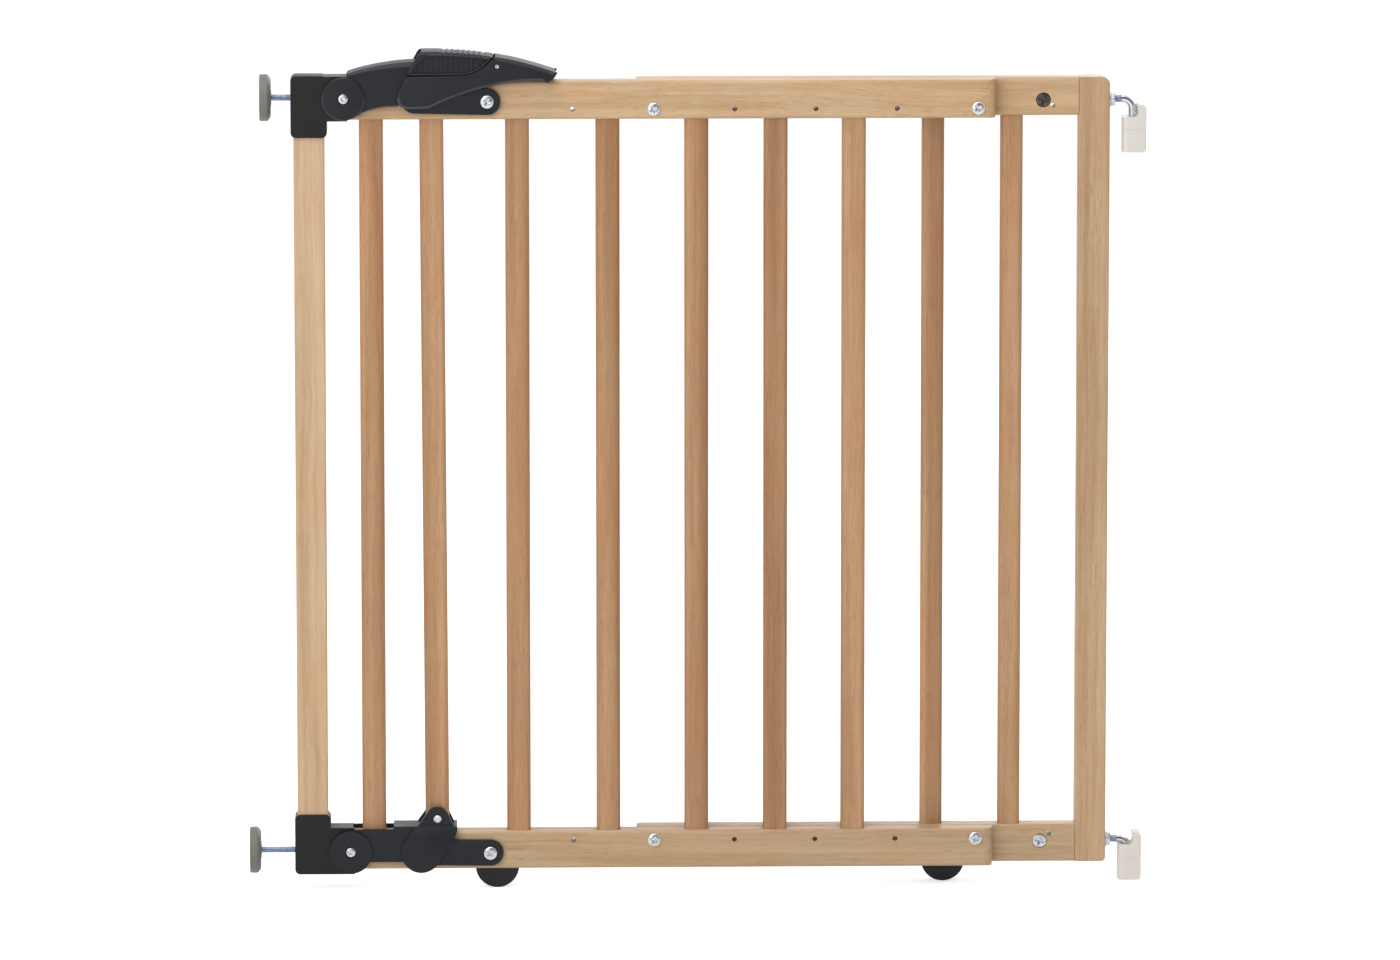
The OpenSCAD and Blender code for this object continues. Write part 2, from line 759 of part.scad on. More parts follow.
function spring_ring(i) =
    let (last = spring_turns * spring_steps,
         a = 360 * min(max(i, 0), last) / spring_steps,
         out = [cos(a), 0, sin(a)])
    [for (k = [0:spring_sides - 1])
        spring_point(i) + spring_wire / 2
            * (cos(360 * k / spring_sides) * out + sin(360 * k / spring_sides) * [0, 1, 0])];

module grip_spring() {
    count = spring_turns * spring_steps + 3;
    rings = [for (i = [-1:count - 2]) each spring_ring(i)];
    sides = [for (i = [0:count - 2], k = [0:spring_sides - 1])
        let (n = (k + 1) % spring_sides)
        [i * spring_sides + k, i * spring_sides + n,
         (i + 1) * spring_sides + n, (i + 1) * spring_sides + k]];
    near_end = [for (k = [spring_sides - 1:-1:0]) k];
    far_end = [for (k = [0:spring_sides - 1]) (count - 1) * spring_sides + k];
    color(zinc) translate([upper_pivot[0] + grip_pivot[0], front_y, upper_pivot[1] + grip_pivot[1]])
        polyhedron(rings, concat(sides, [near_end, far_end]));
}

// ---------- connecting rod ----------

tongue_w = 13;
rod_w = 23;

// wooden rod that makes the lower arm follow the lever; it leans with its two pins
module drive_rod() {
    run = upper_rod_end - lower_rod_end;
    lean = atan2(run[0], run[1]);
    l = norm(run);
    color(bar_beech) difference() {
        translate([lower_rod_end[0], front_y, lower_rod_end[1]]) rotate([0, lean, 0]) {
            translate([0, 0, -7]) linear_extrude(l - 15 + 7 - 0.8) rounded_rect(rod_w, rod_t, bar_edge);
            slab(-rod_t / 2, rod_t / 2) {
                translate([-tongue_w / 2, l - 20]) square([tongue_w, 20]);
                translate([0, l]) circle(tongue_w / 2);
            }
        }
        for (at = [upper_rod_end, lower_rod_end])
            along_y(at, pin_d, front_y - rail_t, front_y + rail_t);
    }
}

// ---------- lower arm ----------

arm_top = 22.3;
arm_low = -9.8;
bridge_u = [41.5, 102.7];
bridge_v = [19.8, 25];   // underside clears the rail, which ends 0.5 below it
rod_window_u = [66.7, 99.5];
arch_in = 11.5;
arch_r = 11.6;
knee_r = 19.2;
shoulder = [3.5, 7.6];   // slope along the knee cover's upper edge: depth, height

module arch_outline() {
    translate(rod_pin) circle(arch_r);
    polygon([[63.8, bridge_v[1] - 1], rod_pin + arch_r * [-cos(35), sin(35)],
             rod_pin + arch_r * [cos(35), sin(35)], [100.2, bridge_v[1] - 1]]);
}

module arm_half() {
    knee = lower_knee - lower_pivot;
    difference() {
        union() {
            at_pivot(lower_pivot, -disc_out, -cheek_in) circle(disc_r, $fn = 96);
            at_pivot(lower_pivot, -cheek_out, -cheek_in)
                polygon([[0, arm_low], [52.4, arm_low], [52.4, 15], [64, 15],
                         [64, arm_top], [5.2, arm_top], [-1, 20.4]]);
            at_pivot(lower_pivot, -shell_out, -shell_in) {
                translate(knee) circle(knee_r, $fn = 96);
                polygon([[50.6, 7.5], [57.5, 19], [60, arm_top], [102.7, arm_top], [102.7, 21.5],
                         [100, 12.4], knee + knee_r * [cos(47), -sin(47)], knee]);
            }
            at_pivot(lower_pivot, -shell_out, 0) translate([62, bridge_v[0] + 2])
                square([bridge_u[1] - 62, bridge_v[1] - bridge_v[0] - 2]);
            at_pivot(lower_pivot, -cheek_out, 0) translate([bridge_u[0], bridge_v[0] + 2])
                square([24, bridge_v[1] - bridge_v[0] - 2]);
            at_pivot(lower_pivot, -cheek_out, -arch_in) arch_outline();
        }
        at_pivot(lower_pivot, -arch_in, cut) translate([rod_window_u[0], 0])
            square([rod_window_u[1] - rod_window_u[0], 40]);
        translate([lower_pivot[0] + 56, 0, lower_pivot[1]]) rotate([90, 0, 90])
            linear_extrude(48) polygon([[-shell_out, bridge_v[1] - shoulder[1]] - 0.2 * shoulder,
                                        [-shell_out + shoulder[0], bridge_v[1]] + 0.2 * shoulder,
                                        [-shell_out - 1, bridge_v[1] + 0.2 * shoulder[1]]]);
        along_y(lower_pivot, pivot_d + 2 * pin_play, -rail_t, cut);
        along_y(lower_pivot, pivot_head_d + 1.6, -rail_t, -disc_out + 2.5);
        along_y(lower_pivot + rod_pin, pin_d, -rail_t, cut);
        along_y(lower_knee, knee_pin_d, -shell_out + 2, cut);
    }
}

// channel that straddles the bottom rail, with arches that carry the rod's lower pin
module lower_arm() {
    color(black) union() {
        translate([0, front_y, 0]) arm_half();
        translate([0, front_y, 0]) mirror([0, 1, 0]) arm_half();
    }
}

module lower_rod_pin() {
    rod_pin_solid(lower_rod_end, cheek_out + 1);
    color(zinc) pan_head(lower_rod_end, 7.5, 1.8, front_y - cheek_out);
}

// ---------- links ----------

// each link runs from a knee pin to its bolt on the rail; the knee hole is a slot that leans up
// towards the bolt, because the pin's arc and the link's differ in mid travel
module links(knee, screw) {
    run = screw - knee;
    slide = run / norm(run);
    rise = [-slide[1], slide[0]];
    color(black) both_faces() difference() {
        slab(-link_out, -link_in) capsule(knee, screw, link_r);
        slab(-link_out - cut, -link_in + cut)
            capsule(knee - 0.3 * slide, knee + 2.4 * slide + 0.5 * rise, knee_pin_d / 2 + 0.3);
        along_y(screw, pivot_d + 2 * pin_play, -rail_t, cut);
    }
}

wall_bracket(upper_bracket_z);  // upper_wall_bracket
wall_bracket(lower_bracket_z);  // lower_wall_bracket
bracket_cover(upper_bracket_z);  // upper_bracket_cover
bracket_cover(lower_bracket_z);  // lower_bracket_cover
hinge_stile();
rear_top_rail();
rear_bottom_rail();
rear_bar(1);  // rear_bar_1
rear_bar(2);  // rear_bar_2
rear_bar(3);  // rear_bar_3
rear_bar(4);  // rear_bar_4
rear_bar(5);  // rear_bar_5
hook_bolt(high_stud_z, upper_bracket_z - 5);  // upper_hook_bolt
hook_bolt(low_stud_z, lower_bracket_z - 5);  // lower_hook_bolt
flange_nuts();
barrel_nuts();
glide(rear_glide_x, rear_y);  // rear_glide
glide_screw(rear_glide_x, rear_y);  // rear_glide_screw
front_top_rail();
front_bottom_rail();
front_bar(0);  // front_bar_1
front_bar(1);  // front_bar_2
front_bar(2);  // front_bar_3
front_bar(3);  // front_bar_4
front_bar(4);  // front_bar_5
front_bar(5);  // front_bar_6
glide(front_glide_x, front_y);  // front_glide
glide_screw(front_glide_x, front_y);  // front_glide_screw
width_screws();
link_bolt(upper_screw);  // upper_link_bolt
link_bolt(lower_screw);  // lower_link_bolt
latch_catch();
clamp_post();
upper_corner();
lower_corner();
spindle_nuts();
pivot_bolt(upper_pivot);  // upper_pivot_bolt
pivot_bolt(lower_pivot);  // lower_pivot_bolt
spindle(upper_pad_x, upper_pivot[1]);  // upper_spindle
wall_pad(upper_pad_x, upper_pivot[1]);  // upper_pad
spindle(lower_pad_x, lower_pivot[1]);  // lower_spindle
wall_pad(lower_pad_x, lower_pivot[1]);  // lower_pad
lever_front_shell();
lever_rear_shell();
knee_pins(upper_knee);  // upper_knee_pins
rod_pin_solid(upper_rod_end, boss_out);  // upper_rod_pin
grip_pin();
release_grip();
grip_spring();
drive_rod();
lower_arm();
knee_pins(lower_knee);  // lower_knee_pins
lower_rod_pin();
links(upper_knee, upper_screw);  // upper_links
links(lower_knee, lower_screw);  // lower_links
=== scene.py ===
"""The looks of a wooden pressure-fit safety gate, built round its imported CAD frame.

Lengths are metres. The frame's CAD nodes keep their shapes and take node materials here;
the moulded, turned and threaded pieces are made as numpy surfaces that stand for their nodes.
"""
import json
import math

import bmesh
import bpy
import numpy as np
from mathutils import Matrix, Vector
from mathutils.geometry import tessellate_polygon

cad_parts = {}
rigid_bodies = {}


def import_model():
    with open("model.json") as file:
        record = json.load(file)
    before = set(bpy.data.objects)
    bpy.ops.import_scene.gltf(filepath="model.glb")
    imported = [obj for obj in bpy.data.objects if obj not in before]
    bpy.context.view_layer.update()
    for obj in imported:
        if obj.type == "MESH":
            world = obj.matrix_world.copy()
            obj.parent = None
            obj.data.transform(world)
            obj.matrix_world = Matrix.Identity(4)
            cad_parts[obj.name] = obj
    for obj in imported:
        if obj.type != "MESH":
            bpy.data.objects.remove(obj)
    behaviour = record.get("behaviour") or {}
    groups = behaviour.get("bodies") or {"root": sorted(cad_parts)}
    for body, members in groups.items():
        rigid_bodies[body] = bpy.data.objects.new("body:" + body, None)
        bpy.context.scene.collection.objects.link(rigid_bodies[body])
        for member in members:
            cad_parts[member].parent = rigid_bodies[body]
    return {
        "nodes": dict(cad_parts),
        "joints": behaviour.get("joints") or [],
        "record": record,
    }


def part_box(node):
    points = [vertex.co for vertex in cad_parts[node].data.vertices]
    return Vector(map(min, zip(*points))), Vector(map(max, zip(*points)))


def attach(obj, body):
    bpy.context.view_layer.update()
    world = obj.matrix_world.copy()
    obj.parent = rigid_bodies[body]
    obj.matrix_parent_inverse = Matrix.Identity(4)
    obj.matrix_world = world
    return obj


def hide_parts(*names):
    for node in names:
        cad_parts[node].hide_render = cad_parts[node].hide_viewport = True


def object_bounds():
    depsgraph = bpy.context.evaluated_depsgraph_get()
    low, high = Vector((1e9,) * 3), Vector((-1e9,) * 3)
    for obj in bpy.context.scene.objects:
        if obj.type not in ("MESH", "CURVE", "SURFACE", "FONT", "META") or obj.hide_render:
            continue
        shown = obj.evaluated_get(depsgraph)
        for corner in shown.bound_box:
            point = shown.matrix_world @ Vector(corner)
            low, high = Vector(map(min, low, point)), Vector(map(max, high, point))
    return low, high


for leftover in list(bpy.data.objects):
    bpy.data.objects.remove(leftover)

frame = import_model()
cad_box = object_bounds()
MM = 0.001


# ---------------------------------------------------------------- material nodes

class Net:
    """Adds nodes to one tree. Any input takes a value or another node's output."""

    def __init__(self, tree):
        self.tree = tree

    def add(self, kind, inputs=None, **settings):
        node = self.tree.nodes.new("ShaderNode" + kind)
        for name, value in settings.items():
            setattr(node, name, value)
        for name, value in (inputs or {}).items():
            self.feed(node.inputs[name], value)
        return node

    def feed(self, socket, value):
        if isinstance(value, bpy.types.NodeSocket):
            self.tree.links.new(value, socket)
        else:
            socket.default_value = value

    def math(self, operation, a, b=0.0, clamp=False):
        return self.add("Math", {0: a, 1: b}, operation=operation, use_clamp=clamp).outputs[0]

    def noise(self, vector, scale, detail, roughness=0.5):
        inputs = {"Vector": vector, "Scale": scale, "Detail": detail, "Roughness": roughness}
        return self.add("TexNoise", inputs).outputs[0]

    def stretched(self, vector, scale, turn=(0, 0, 0)):
        inputs = {"Vector": vector, "Scale": scale, "Rotation": turn}
        return self.add("Mapping", inputs).outputs[0]

    def step(self, value, low, high, start=0.0, end=1.0):
        """Goes smoothly from start to end while value goes from low to high."""
        inputs = {"Value": value, "From Min": low, "From Max": high, "To Min": start, "To Max": end}
        return self.add("MapRange", inputs, interpolation_type="SMOOTHSTEP").outputs[0]

    def mix(self, factor, a, b, blend="MIX"):
        node = self.add("Mix", data_type="RGBA", blend_type=blend)
        self.feed(node.inputs[0], factor)
        self.feed(node.inputs[6], a)
        self.feed(node.inputs[7], b)
        return node.outputs[2]

    def vector_math(self, operation, a, b):
        return self.add("VectorMath", {0: a, 1: b}, operation=operation).outputs[0]

    def streaks(self, vector, along, across, detail, roughness=0.5):
        """Noise squeezed by one factor along X and by another across it."""
        return self.noise(self.stretched(vector, (along, across, across)), 1.0, detail, roughness)

    def wander(self, vector, along, across, reach):
        """The place moved sideways, up to the reach, by noise squeezed in the same way."""
        inputs = {"Vector": self.stretched(vector, (along, across, across)), "Scale": 1.0}
        drift = self.add("TexNoise", inputs).outputs[1]
        return self.vector_math("MULTIPLY", drift, (0.0, reach, reach))

    def group(self, tree, **inputs):
        """The outputs of a node group that is given these inputs."""
        node = self.add("Group")
        node.node_tree = tree
        for name, value in inputs.items():
            self.feed(node.inputs[name.replace("_", " ")], value)
        return node.outputs


SOCKETS = {"vector": "NodeSocketVector", "colour": "NodeSocketColor", "value": "NodeSocketFloat"}


def new_group(name, inputs, outputs):
    """An empty node group with the named inputs and outputs: (net, input sockets, finish(**values))."""
    tree = bpy.data.node_groups.new(name, "ShaderNodeTree")
    for label, kind in inputs.items():
        tree.interface.new_socket(label, in_out="INPUT", socket_type=SOCKETS[kind])
    for label, kind in outputs.items():
        tree.interface.new_socket(label, in_out="OUTPUT", socket_type=SOCKETS[kind])
    entry = tree.nodes.new("NodeGroupInput")
    leave = tree.nodes.new("NodeGroupOutput")
    net = Net(tree)

    def finish(**values):
        for label, value in values.items():
            net.feed(leave.inputs[label.replace("_", " ")], value)
        return tree

    return net, entry.outputs, finish


def linear(red, green, blue):
    """An sRGB colour given as 0 to 255, in the linear values that sockets hold."""
    def curve(value):
        value /= 255
        return value / 12.92 if value <= 0.04045 else ((value + 0.055) / 1.055) ** 2.4
    return (curve(red), curve(green), curve(blue), 1.0)


def new_material(name, **constants):
    """A material with a bare Principled shader: (material, net, shader). Constants go on its sockets."""
    material = bpy.data.materials.new(name)
    material.use_nodes = True
    net = Net(material.node_tree)
    shader = material.node_tree.nodes["Principled BSDF"]
    for label, value in constants.items():
        shader.inputs[label.replace("_", " ")].default_value = value
    return material, net, shader


def finish_material(net, shader, skin, bump_strength, bump_distance, colour=None):
    """Links a skin's colour, or the one given, its roughness and its height to the shader."""
    net.feed(shader.inputs["Base Color"], colour or skin["Colour"])
    net.feed(shader.inputs["Roughness"], skin["Roughness"])
    bump = net.add("Bump", {"Height": skin["Height"], "Strength": bump_strength,
                            "Distance": bump_distance})
    net.feed(shader.inputs["Normal"], bump.outputs[0])


def object_place(net):
    """Object coordinates, which are the frame's own metres, because every piece sits at the origin."""
    return net.add("TexCoord").outputs["Object"]


# ---------------------------------------------------------------- shared effects

def make_wood_grain():
    """Wood with its grain along X: broad streaks, growth bands, pores drawn out along the grain and
    fine fibre. Each is noise on a place squeezed along X. Slow noise first bends the place and quicker
    noise ripples it. Soft patches are a little redder."""
    net, given, finish = new_group(
        "wood grain",
        {"Place": "vector", "Light": "colour", "Dark": "colour", "Pore": "colour",
         "Band Amount": "value", "Pore Amount": "value", "Pore Fineness": "value"},
        {"Colour": "colour", "Height": "value", "Roughness": "value"})
    place = given["Place"]
    bent = net.vector_math("ADD", place, net.wander(place, 3.0, 9.0, 0.016))
    bent = net.vector_math("ADD", bent, net.wander(place, 30.0, 34.0, 0.0045))
    broad = net.streaks(bent, 1.6, 34.0, 3.0)
    bands = net.streaks(bent, 3.2, 210.0, 3.0, 0.55)
    fibre = net.streaks(bent, 26.0, 1500.0, 2.0)
    fine = net.math("MULTIPLY", given["Pore Fineness"], 950.0)
    along = net.math("MULTIPLY", given["Pore Fineness"], 48.0)
    squeeze = net.add("CombineXYZ", {0: along, 1: fine, 2: fine}).outputs[0]
    pore_place = net.vector_math("MULTIPLY", bent, squeeze)
    pores = net.step(net.noise(pore_place, 1.0, 2.0, 0.45), 0.56, 0.70)
    patches = net.step(net.streaks(place, 7.0, 40.0, 2.0), 0.38, 0.62, 0.5)
    pores = net.math("MULTIPLY", pores, patches)
    tone = net.math("MULTIPLY", net.step(bands, 0.3, 0.7), given["Band Amount"])
    tone = net.math("ADD", tone, net.step(broad, 0.3, 0.75, 0.0, 0.48))
    tone = net.math("ADD", tone, net.step(fibre, 0.25, 0.75, -0.13, 0.13), clamp=True)
    colour = net.mix(tone, given["Light"], given["Dark"])
    blush = net.step(net.streaks(place, 9.0, 26.0, 2.0), 0.42, 0.66)
    colour = net.mix(blush, colour, net.mix(1.0, colour, (1.0, 0.93, 0.88, 1), "MULTIPLY"))
    colour = net.mix(net.math("MULTIPLY", pores, given["Pore Amount"]), colour, given["Pore"])
    height = net.math("SUBTRACT", net.math("MULTIPLY", fibre, 0.5), net.math("MULTIPLY", pores, 0.6))
    roughness = net.math("ADD", net.step(fibre, 0.2, 0.8, 0.34, 0.46), net.math("MULTIPLY", pores, 0.18))
    return finish(Colour=colour, Height=height, Roughness=roughness)


def make_board_tone():
    """A brightness that is nearly the same all over one upright or rail and differs from the next:
    noise that changes quickly across the gate and hardly along the board."""
    net, given, finish = new_group("board tone", {"Place": "vector"}, {"Tone": "value"})
    slow = net.streaks(given["Place"], 0.7, 60.0, 0.0)
    return finish(Tone=net.step(slow, 0.28, 0.72))


def make_moulded_skin():
    """The skin of a moulded piece: fine spark texture, slow patches of sheen and a little dust. The
    slanted edges that face sideways or down are painted paler towards the dust colour, a painted
    highlight for the light that bevels catch."""
    net, given, finish = new_group(
        "moulded skin",
        {"Place": "vector", "Colour": "colour", "Dust": "colour", "Grain": "value",
         "Dustiness": "value", "Rubbed": "value"},
        {"Colour": "colour", "Roughness": "value", "Height": "value"})
    place = given["Place"]
    grain = net.noise(place, given["Grain"], 3.0, 0.6)
    patches = net.noise(place, 38.0, 3.0)
    specks = net.step(net.noise(place, 620.0, 2.0, 0.7), 0.62, 0.8)
    film = net.step(patches, 0.35, 0.8, 0.0, 0.35)
    dust = net.math("MULTIPLY", net.math("ADD", film, specks), given["Dustiness"])
    # Painted highlight: slanted edges that face sideways or down are lightened, as strong as the painted
    # sheen.
    facing = net.add("SeparateXYZ", {0: net.add("TexCoord").outputs["Normal"]}).outputs
    flat = net.math("ABSOLUTE", facing["Y"])
    slanted = net.math("MULTIPLY", net.step(flat, 0.985, 0.93), net.step(flat, 0.1, 0.4))
    turned_down = net.step(facing["Z"], 0.3, -0.1)
    painted_sheen_mask = net.math("MULTIPLY", net.math("MULTIPLY", slanted, turned_down),
                   net.math("MULTIPLY", given["Rubbed"], net.step(patches, 0.2, 0.6, 0.6, 1.0)))
    # Dust and the painted highlight both lighten the colour towards the dust colour.
    colour = net.mix(net.math("MAXIMUM", dust, painted_sheen_mask), given["Colour"], given["Dust"])
    roughness = net.math("ADD", net.step(patches, 0.3, 0.7, 0.36, 0.46),
                         net.step(grain, 0.3, 0.7, -0.06, 0.06))
    return finish(Colour=colour, Roughness=roughness, Height=grain)


def make_metal_skin():
    """Plated metal: slow stains in the colour, a finely cloudy gloss and small pits."""
    net, given, finish = new_group(
        "metal skin",
        {"Place": "vector", "Bright": "colour", "Stain": "colour", "Smooth": "value", "Rough": "value"},
        {"Colour": "colour", "Roughness": "value", "Height": "value"})
    place = given["Place"]
    stain = net.step(net.noise(place, 160.0, 4.0, 0.6), 0.35, 0.72)
    cloud = net.noise(place, 900.0, 3.0, 0.6)
    spread = net.math("SUBTRACT", given["Rough"], given["Smooth"])
    roughness = net.math("ADD", given["Smooth"], net.math("MULTIPLY", spread, net.step(cloud, 0.3, 0.7)))
    colour = net.mix(stain, given["Bright"], given["Stain"])
    return finish(Colour=colour, Roughness=roughness, Height=cloud)


WOOD_GRAIN = make_wood_grain()
BOARD_TONE = make_board_tone()
MOULDED_SKIN = make_moulded_skin()
METAL_SKIN = make_metal_skin()


# ---------------------------------------------------------------- finishes

def wood(name, light, dark, pore, upright, bands, pores, fineness, deepen):
    """Lacquered wood. An upright has its grain turned to run along Z. Deepen is how much darker the
    darkest board is than the palest."""
    material, net, shader = new_material(name, Coat_Weight=0.12, Coat_Roughness=0.28,
                                         Specular_IOR_Level=0.42)
    place = object_place(net)
    if upright:
        place = net.stretched(place, (1, 1, 1), (0, math.pi / 2, 0))
    grain = net.group(WOOD_GRAIN, Place=place, Light=light, Dark=dark, Pore=pore, Band_Amount=bands,
                      Pore_Amount=pores, Pore_Fineness=fineness)
    tone = net.group(BOARD_TONE, Place=place)["Tone"]
    tint = net.mix(tone, (1, 1, 1, 1), (1 - deepen, 1 - deepen * 1.25, 1 - deepen * 1.5, 1))
    colour = net.mix(1.0, grain["Colour"], tint, "MULTIPLY")
    finish_material(net, shader, grain, 0.35, 0.25 * MM, colour)
    return material


def moulded(name, colour, dust, grain=1500.0, dustiness=0.12, bump=0.25, painted_sheen=0.0):
    """Moulded plastic or rubber with a fine spark texture of the given scale. The dust colour also paints
    a highlight on slanted lower edges, as strong as the painted sheen.
    """
    material, net, shader = new_material(name, Specular_IOR_Level=0.33)
    skin = net.group(MOULDED_SKIN, Place=object_place(net), Colour=colour, Dust=dust, Grain=grain,
                     Dustiness=dustiness, Rubbed=painted_sheen)
    finish_material(net, shader, skin, bump, 0.1 * MM)
    return material


def metal(name, bright, stain, smooth, rough):
    """Plated or bare metal whose roughness wanders between smooth and rough."""
    material, net, shader = new_material(name, Metallic=1.0)
    skin = net.group(METAL_SKIN, Place=object_place(net), Bright=bright, Stain=stain, Smooth=smooth,
                     Rough=rough)
    finish_material(net, shader, skin, 0.12, 0.05 * MM)
    return material


RAIL_PORE = linear(150, 112, 74)
rail_wood = wood("pale rail wood", linear(226, 196, 158), linear(196, 158, 114), RAIL_PORE,
                 upright=False, bands=0.5, pores=0.34, fineness=1.25, deepen=0.10)
low_rail_wood = wood("low rail wood", linear(209, 183, 148), linear(179, 146, 107), RAIL_PORE,
                     upright=False, bands=0.5, pores=0.38, fineness=1.15, deepen=0.08)
stile_wood = wood("pale stile wood", linear(216, 185, 148), linear(186, 149, 109), RAIL_PORE,
                  upright=True, bands=0.5, pores=0.38, fineness=1.2, deepen=0.08)
post_wood = wood("maple post wood", linear(223, 195, 159), linear(200, 166, 127),
                 linear(172, 134, 96), upright=True, bands=0.6, pores=0.25, fineness=1.1, deepen=0.06)
bar_wood = wood("steamed beech", linear(206, 163, 122), linear(176, 132, 93), linear(142, 94, 60),
                upright=True, bands=0.5, pores=0.4, fineness=1.25, deepen=0.22)
# The black and charcoal mouldings get a painted highlight on their slanted lower edges.
black_plastic = moulded("black moulding", linear(25, 27, 34), linear(82, 84, 92), painted_sheen=0.75)
charcoal_plastic = moulded("charcoal moulding", linear(22, 22, 20), linear(78, 78, 74), painted_sheen=0.5)
white_plastic = moulded("warm white moulding", linear(232, 227, 219), linear(214, 207, 196),
                        grain=1000.0, dustiness=0.3, bump=0.15)
pad_rubber = moulded("grey pad rubber", linear(121, 120, 113), linear(150, 148, 140),
                     grain=800.0, dustiness=0.25)
zinc = metal("bright zinc", linear(222, 225, 228), linear(196, 200, 206), 0.2, 0.34)
chrome = metal("polished chrome", linear(226, 229, 232), linear(208, 213, 220), 0.09, 0.17)
blue_zinc = metal("blue zinc", linear(190, 202, 218), linear(160, 174, 194), 0.22, 0.38)
dark_steel = metal("dark steel", linear(112, 108, 104), linear(70, 66, 64), 0.35, 0.55)

SLOT_FINISH = {"rail_wood": rail_wood, "bar_wood": bar_wood, "bracket_plastic": white_plastic,
               "corner_plastic": charcoal_plastic, "lever_plastic": black_plastic,
               "pad_rubber": pad_rubber, "zinc_steel": zinc, "blue_zinc": blue_zinc,
               "dark_steel": dark_steel}
NODE_FINISH = {"hinge_stile": stile_wood, "clamp_post": post_wood, "front_bottom_rail": low_rail_wood,
               "rear_bottom_rail": low_rail_wood}

BODIES = frame["record"]["behaviour"]["bodies"]
BODY_OF = {node: body for body, nodes in BODIES.items() for node in nodes}
CAD_SLOT = {name: node.material_slots[0].material.name for name, node in frame["nodes"].items()}
for name, node in frame["nodes"].items():
    for place in node.material_slots:
        place.material = NODE_FINISH.get(name) or SLOT_FINISH[place.material.name]


# ---------------------------------------------------------------- surfaces

DOUBLES = 0.002 * MM     # points nearer than this are one point
RIM_STEPS = 4            # points on each of a rim's two arcs
PIT_SIDES = 40           # points round a pit
AXES = {"x": (1, 2, 0), "y": (2, 0, 1)}      # the two crosswise directions, then the axis itself


def full_turn(count):
    """Angles at even steps all the way round."""
    return np.linspace(0, 2 * math.pi, count, endpoint=False)


def new_object(name, data):
    """An object in the scene that holds the data."""
    thing = bpy.data.objects.new(name, data)
    bpy.context.scene.collection.objects.link(thing)
    return thing


def make_piece(name, points, faces, crease=40):
    """An object from points and faces: doubles merged, faces turned outwards, shaded smooth with
    creases where neighbouring faces meet at more than the crease angle in degrees."""
    mesh = bpy.data.meshes.new(name)
    mesh.from_pydata(np.asarray(points).reshape(-1, 3).tolist(), [], faces)
    return tidy_mesh(name, mesh, crease)


def tidy_mesh(name, mesh, crease, flat_angle=None):
    """Does the merging, turning and shading. Where a flat angle is given, faces that meet at less than
    that many degrees are first joined into one."""
    work = bmesh.new()
    work.from_mesh(mesh)
    bmesh.ops.remove_doubles(work, verts=work.verts, dist=DOUBLES)
    if flat_angle is not None:
        bmesh.ops.dissolve_limit(work, angle_limit=math.radians(flat_angle), verts=work.verts,
                                 edges=work.edges)
    bmesh.ops.recalc_face_normals(work, faces=work.faces)
    work.to_mesh(mesh)
    work.free()
    mesh.polygons.foreach_set("use_smooth", np.ones(len(mesh.polygons), dtype=bool))
    mesh.set_sharp_from_angle(angle=math.radians(crease))
    return new_object(name, mesh)


def grid_faces(rows, columns, is_ring=False, first=0):
    """The four-sided faces between neighbouring points of a grid, whose last column joins the first.
    In a ring the last row joins the first as well."""
    index = np.arange(rows * columns).reshape(rows, columns) + first
    if is_ring:
        index = np.vstack([index, index[:1]])
    index = np.hstack([index, index[:, :1]])
    corners = (index[:-1, :-1], index[1:, :-1], index[1:, 1:], index[:-1, 1:])
    return np.stack(corners, axis=-1).reshape(-1, 4).tolist()


def closed_mesh(grid, is_ring=False):
    """The points and faces of a grid. Unless it is a ring, a flat cap closes it at both ends."""
    rows, columns = grid.shape[:2]
    faces = grid_faces(rows, columns, is_ring)
    if not is_ring:
        faces += [list(range(columns)), list(range((rows - 1) * columns, rows * columns))]
    return grid.reshape(-1, 3), faces


def around(axis, radii, turn, along, centre):
    """Points at these radii and angles about the axis through the centre, and these places along it."""
    points = np.empty(np.broadcast(radii, turn, along).shape + (3,))
    for place, value in zip(AXES[axis], (radii * np.cos(turn), radii * np.sin(turn), along)):
        points[..., place] = value
    return points + np.asarray(centre)


def laid(across, up, depth):
    """Stacks an outline's X and Z and its depth along Y into XYZ points."""
    return np.stack(np.broadcast_arrays(across, depth, up), axis=-1)


def turned_mesh(profile, centre, axis, count, is_ring=False):
    """A profile of (radius, place along the axis) carried round the axis through the centre."""
    radius, along = np.asarray(profile, dtype=float).T[..., None]
    return closed_mesh(around(axis, radius, full_turn(count), along, centre), is_ring)


def rounded_profile(points, radius, steps=5):
    """The same profile with each inner corner replaced by a quadratic arc that starts and ends one
    radius, or almost half a side, away from it."""
    points = np.asarray(points, dtype=float)
    before, corner, after = points[:-2], points[1:-1], points[2:]

    def reach(side):
        length = np.linalg.norm(side, axis=1, keepdims=True)
        return side / length * np.minimum(radius, 0.49 * length)
    start = corner + reach(before - corner)
    end = corner + reach(after - corner)
    t = np.linspace(0, 1, steps)[None, :, None]
    arcs = (1 - t) ** 2 * start[:, None] + 2 * t * (1 - t) * corner[:, None] + t ** 2 * end[:, None]
    return np.vstack([points[:1], arcs.reshape(-1, 2), points[-1:]])


def inward(outline):
    """For each point of a closed outline, the step that moves both its sides inwards by one: the sum
    of the two sides' normals over one plus the cosine between them."""
    side = np.roll(outline, -1, axis=0) - outline
    length = np.linalg.norm(side, axis=1, keepdims=True)
    normal = np.stack([-side[:, 1], side[:, 0]], axis=1) / np.maximum(length, 1e-9)
    x, y = outline.T
    normal *= np.sign(np.sum(x * np.roll(y, -1) - y * np.roll(x, -1)))
    previous = np.roll(normal, 1, axis=0)
    cosine = (normal * previous).sum(axis=1, keepdims=True)
    return (normal + previous) / np.maximum(1 + cosine, 0.4)


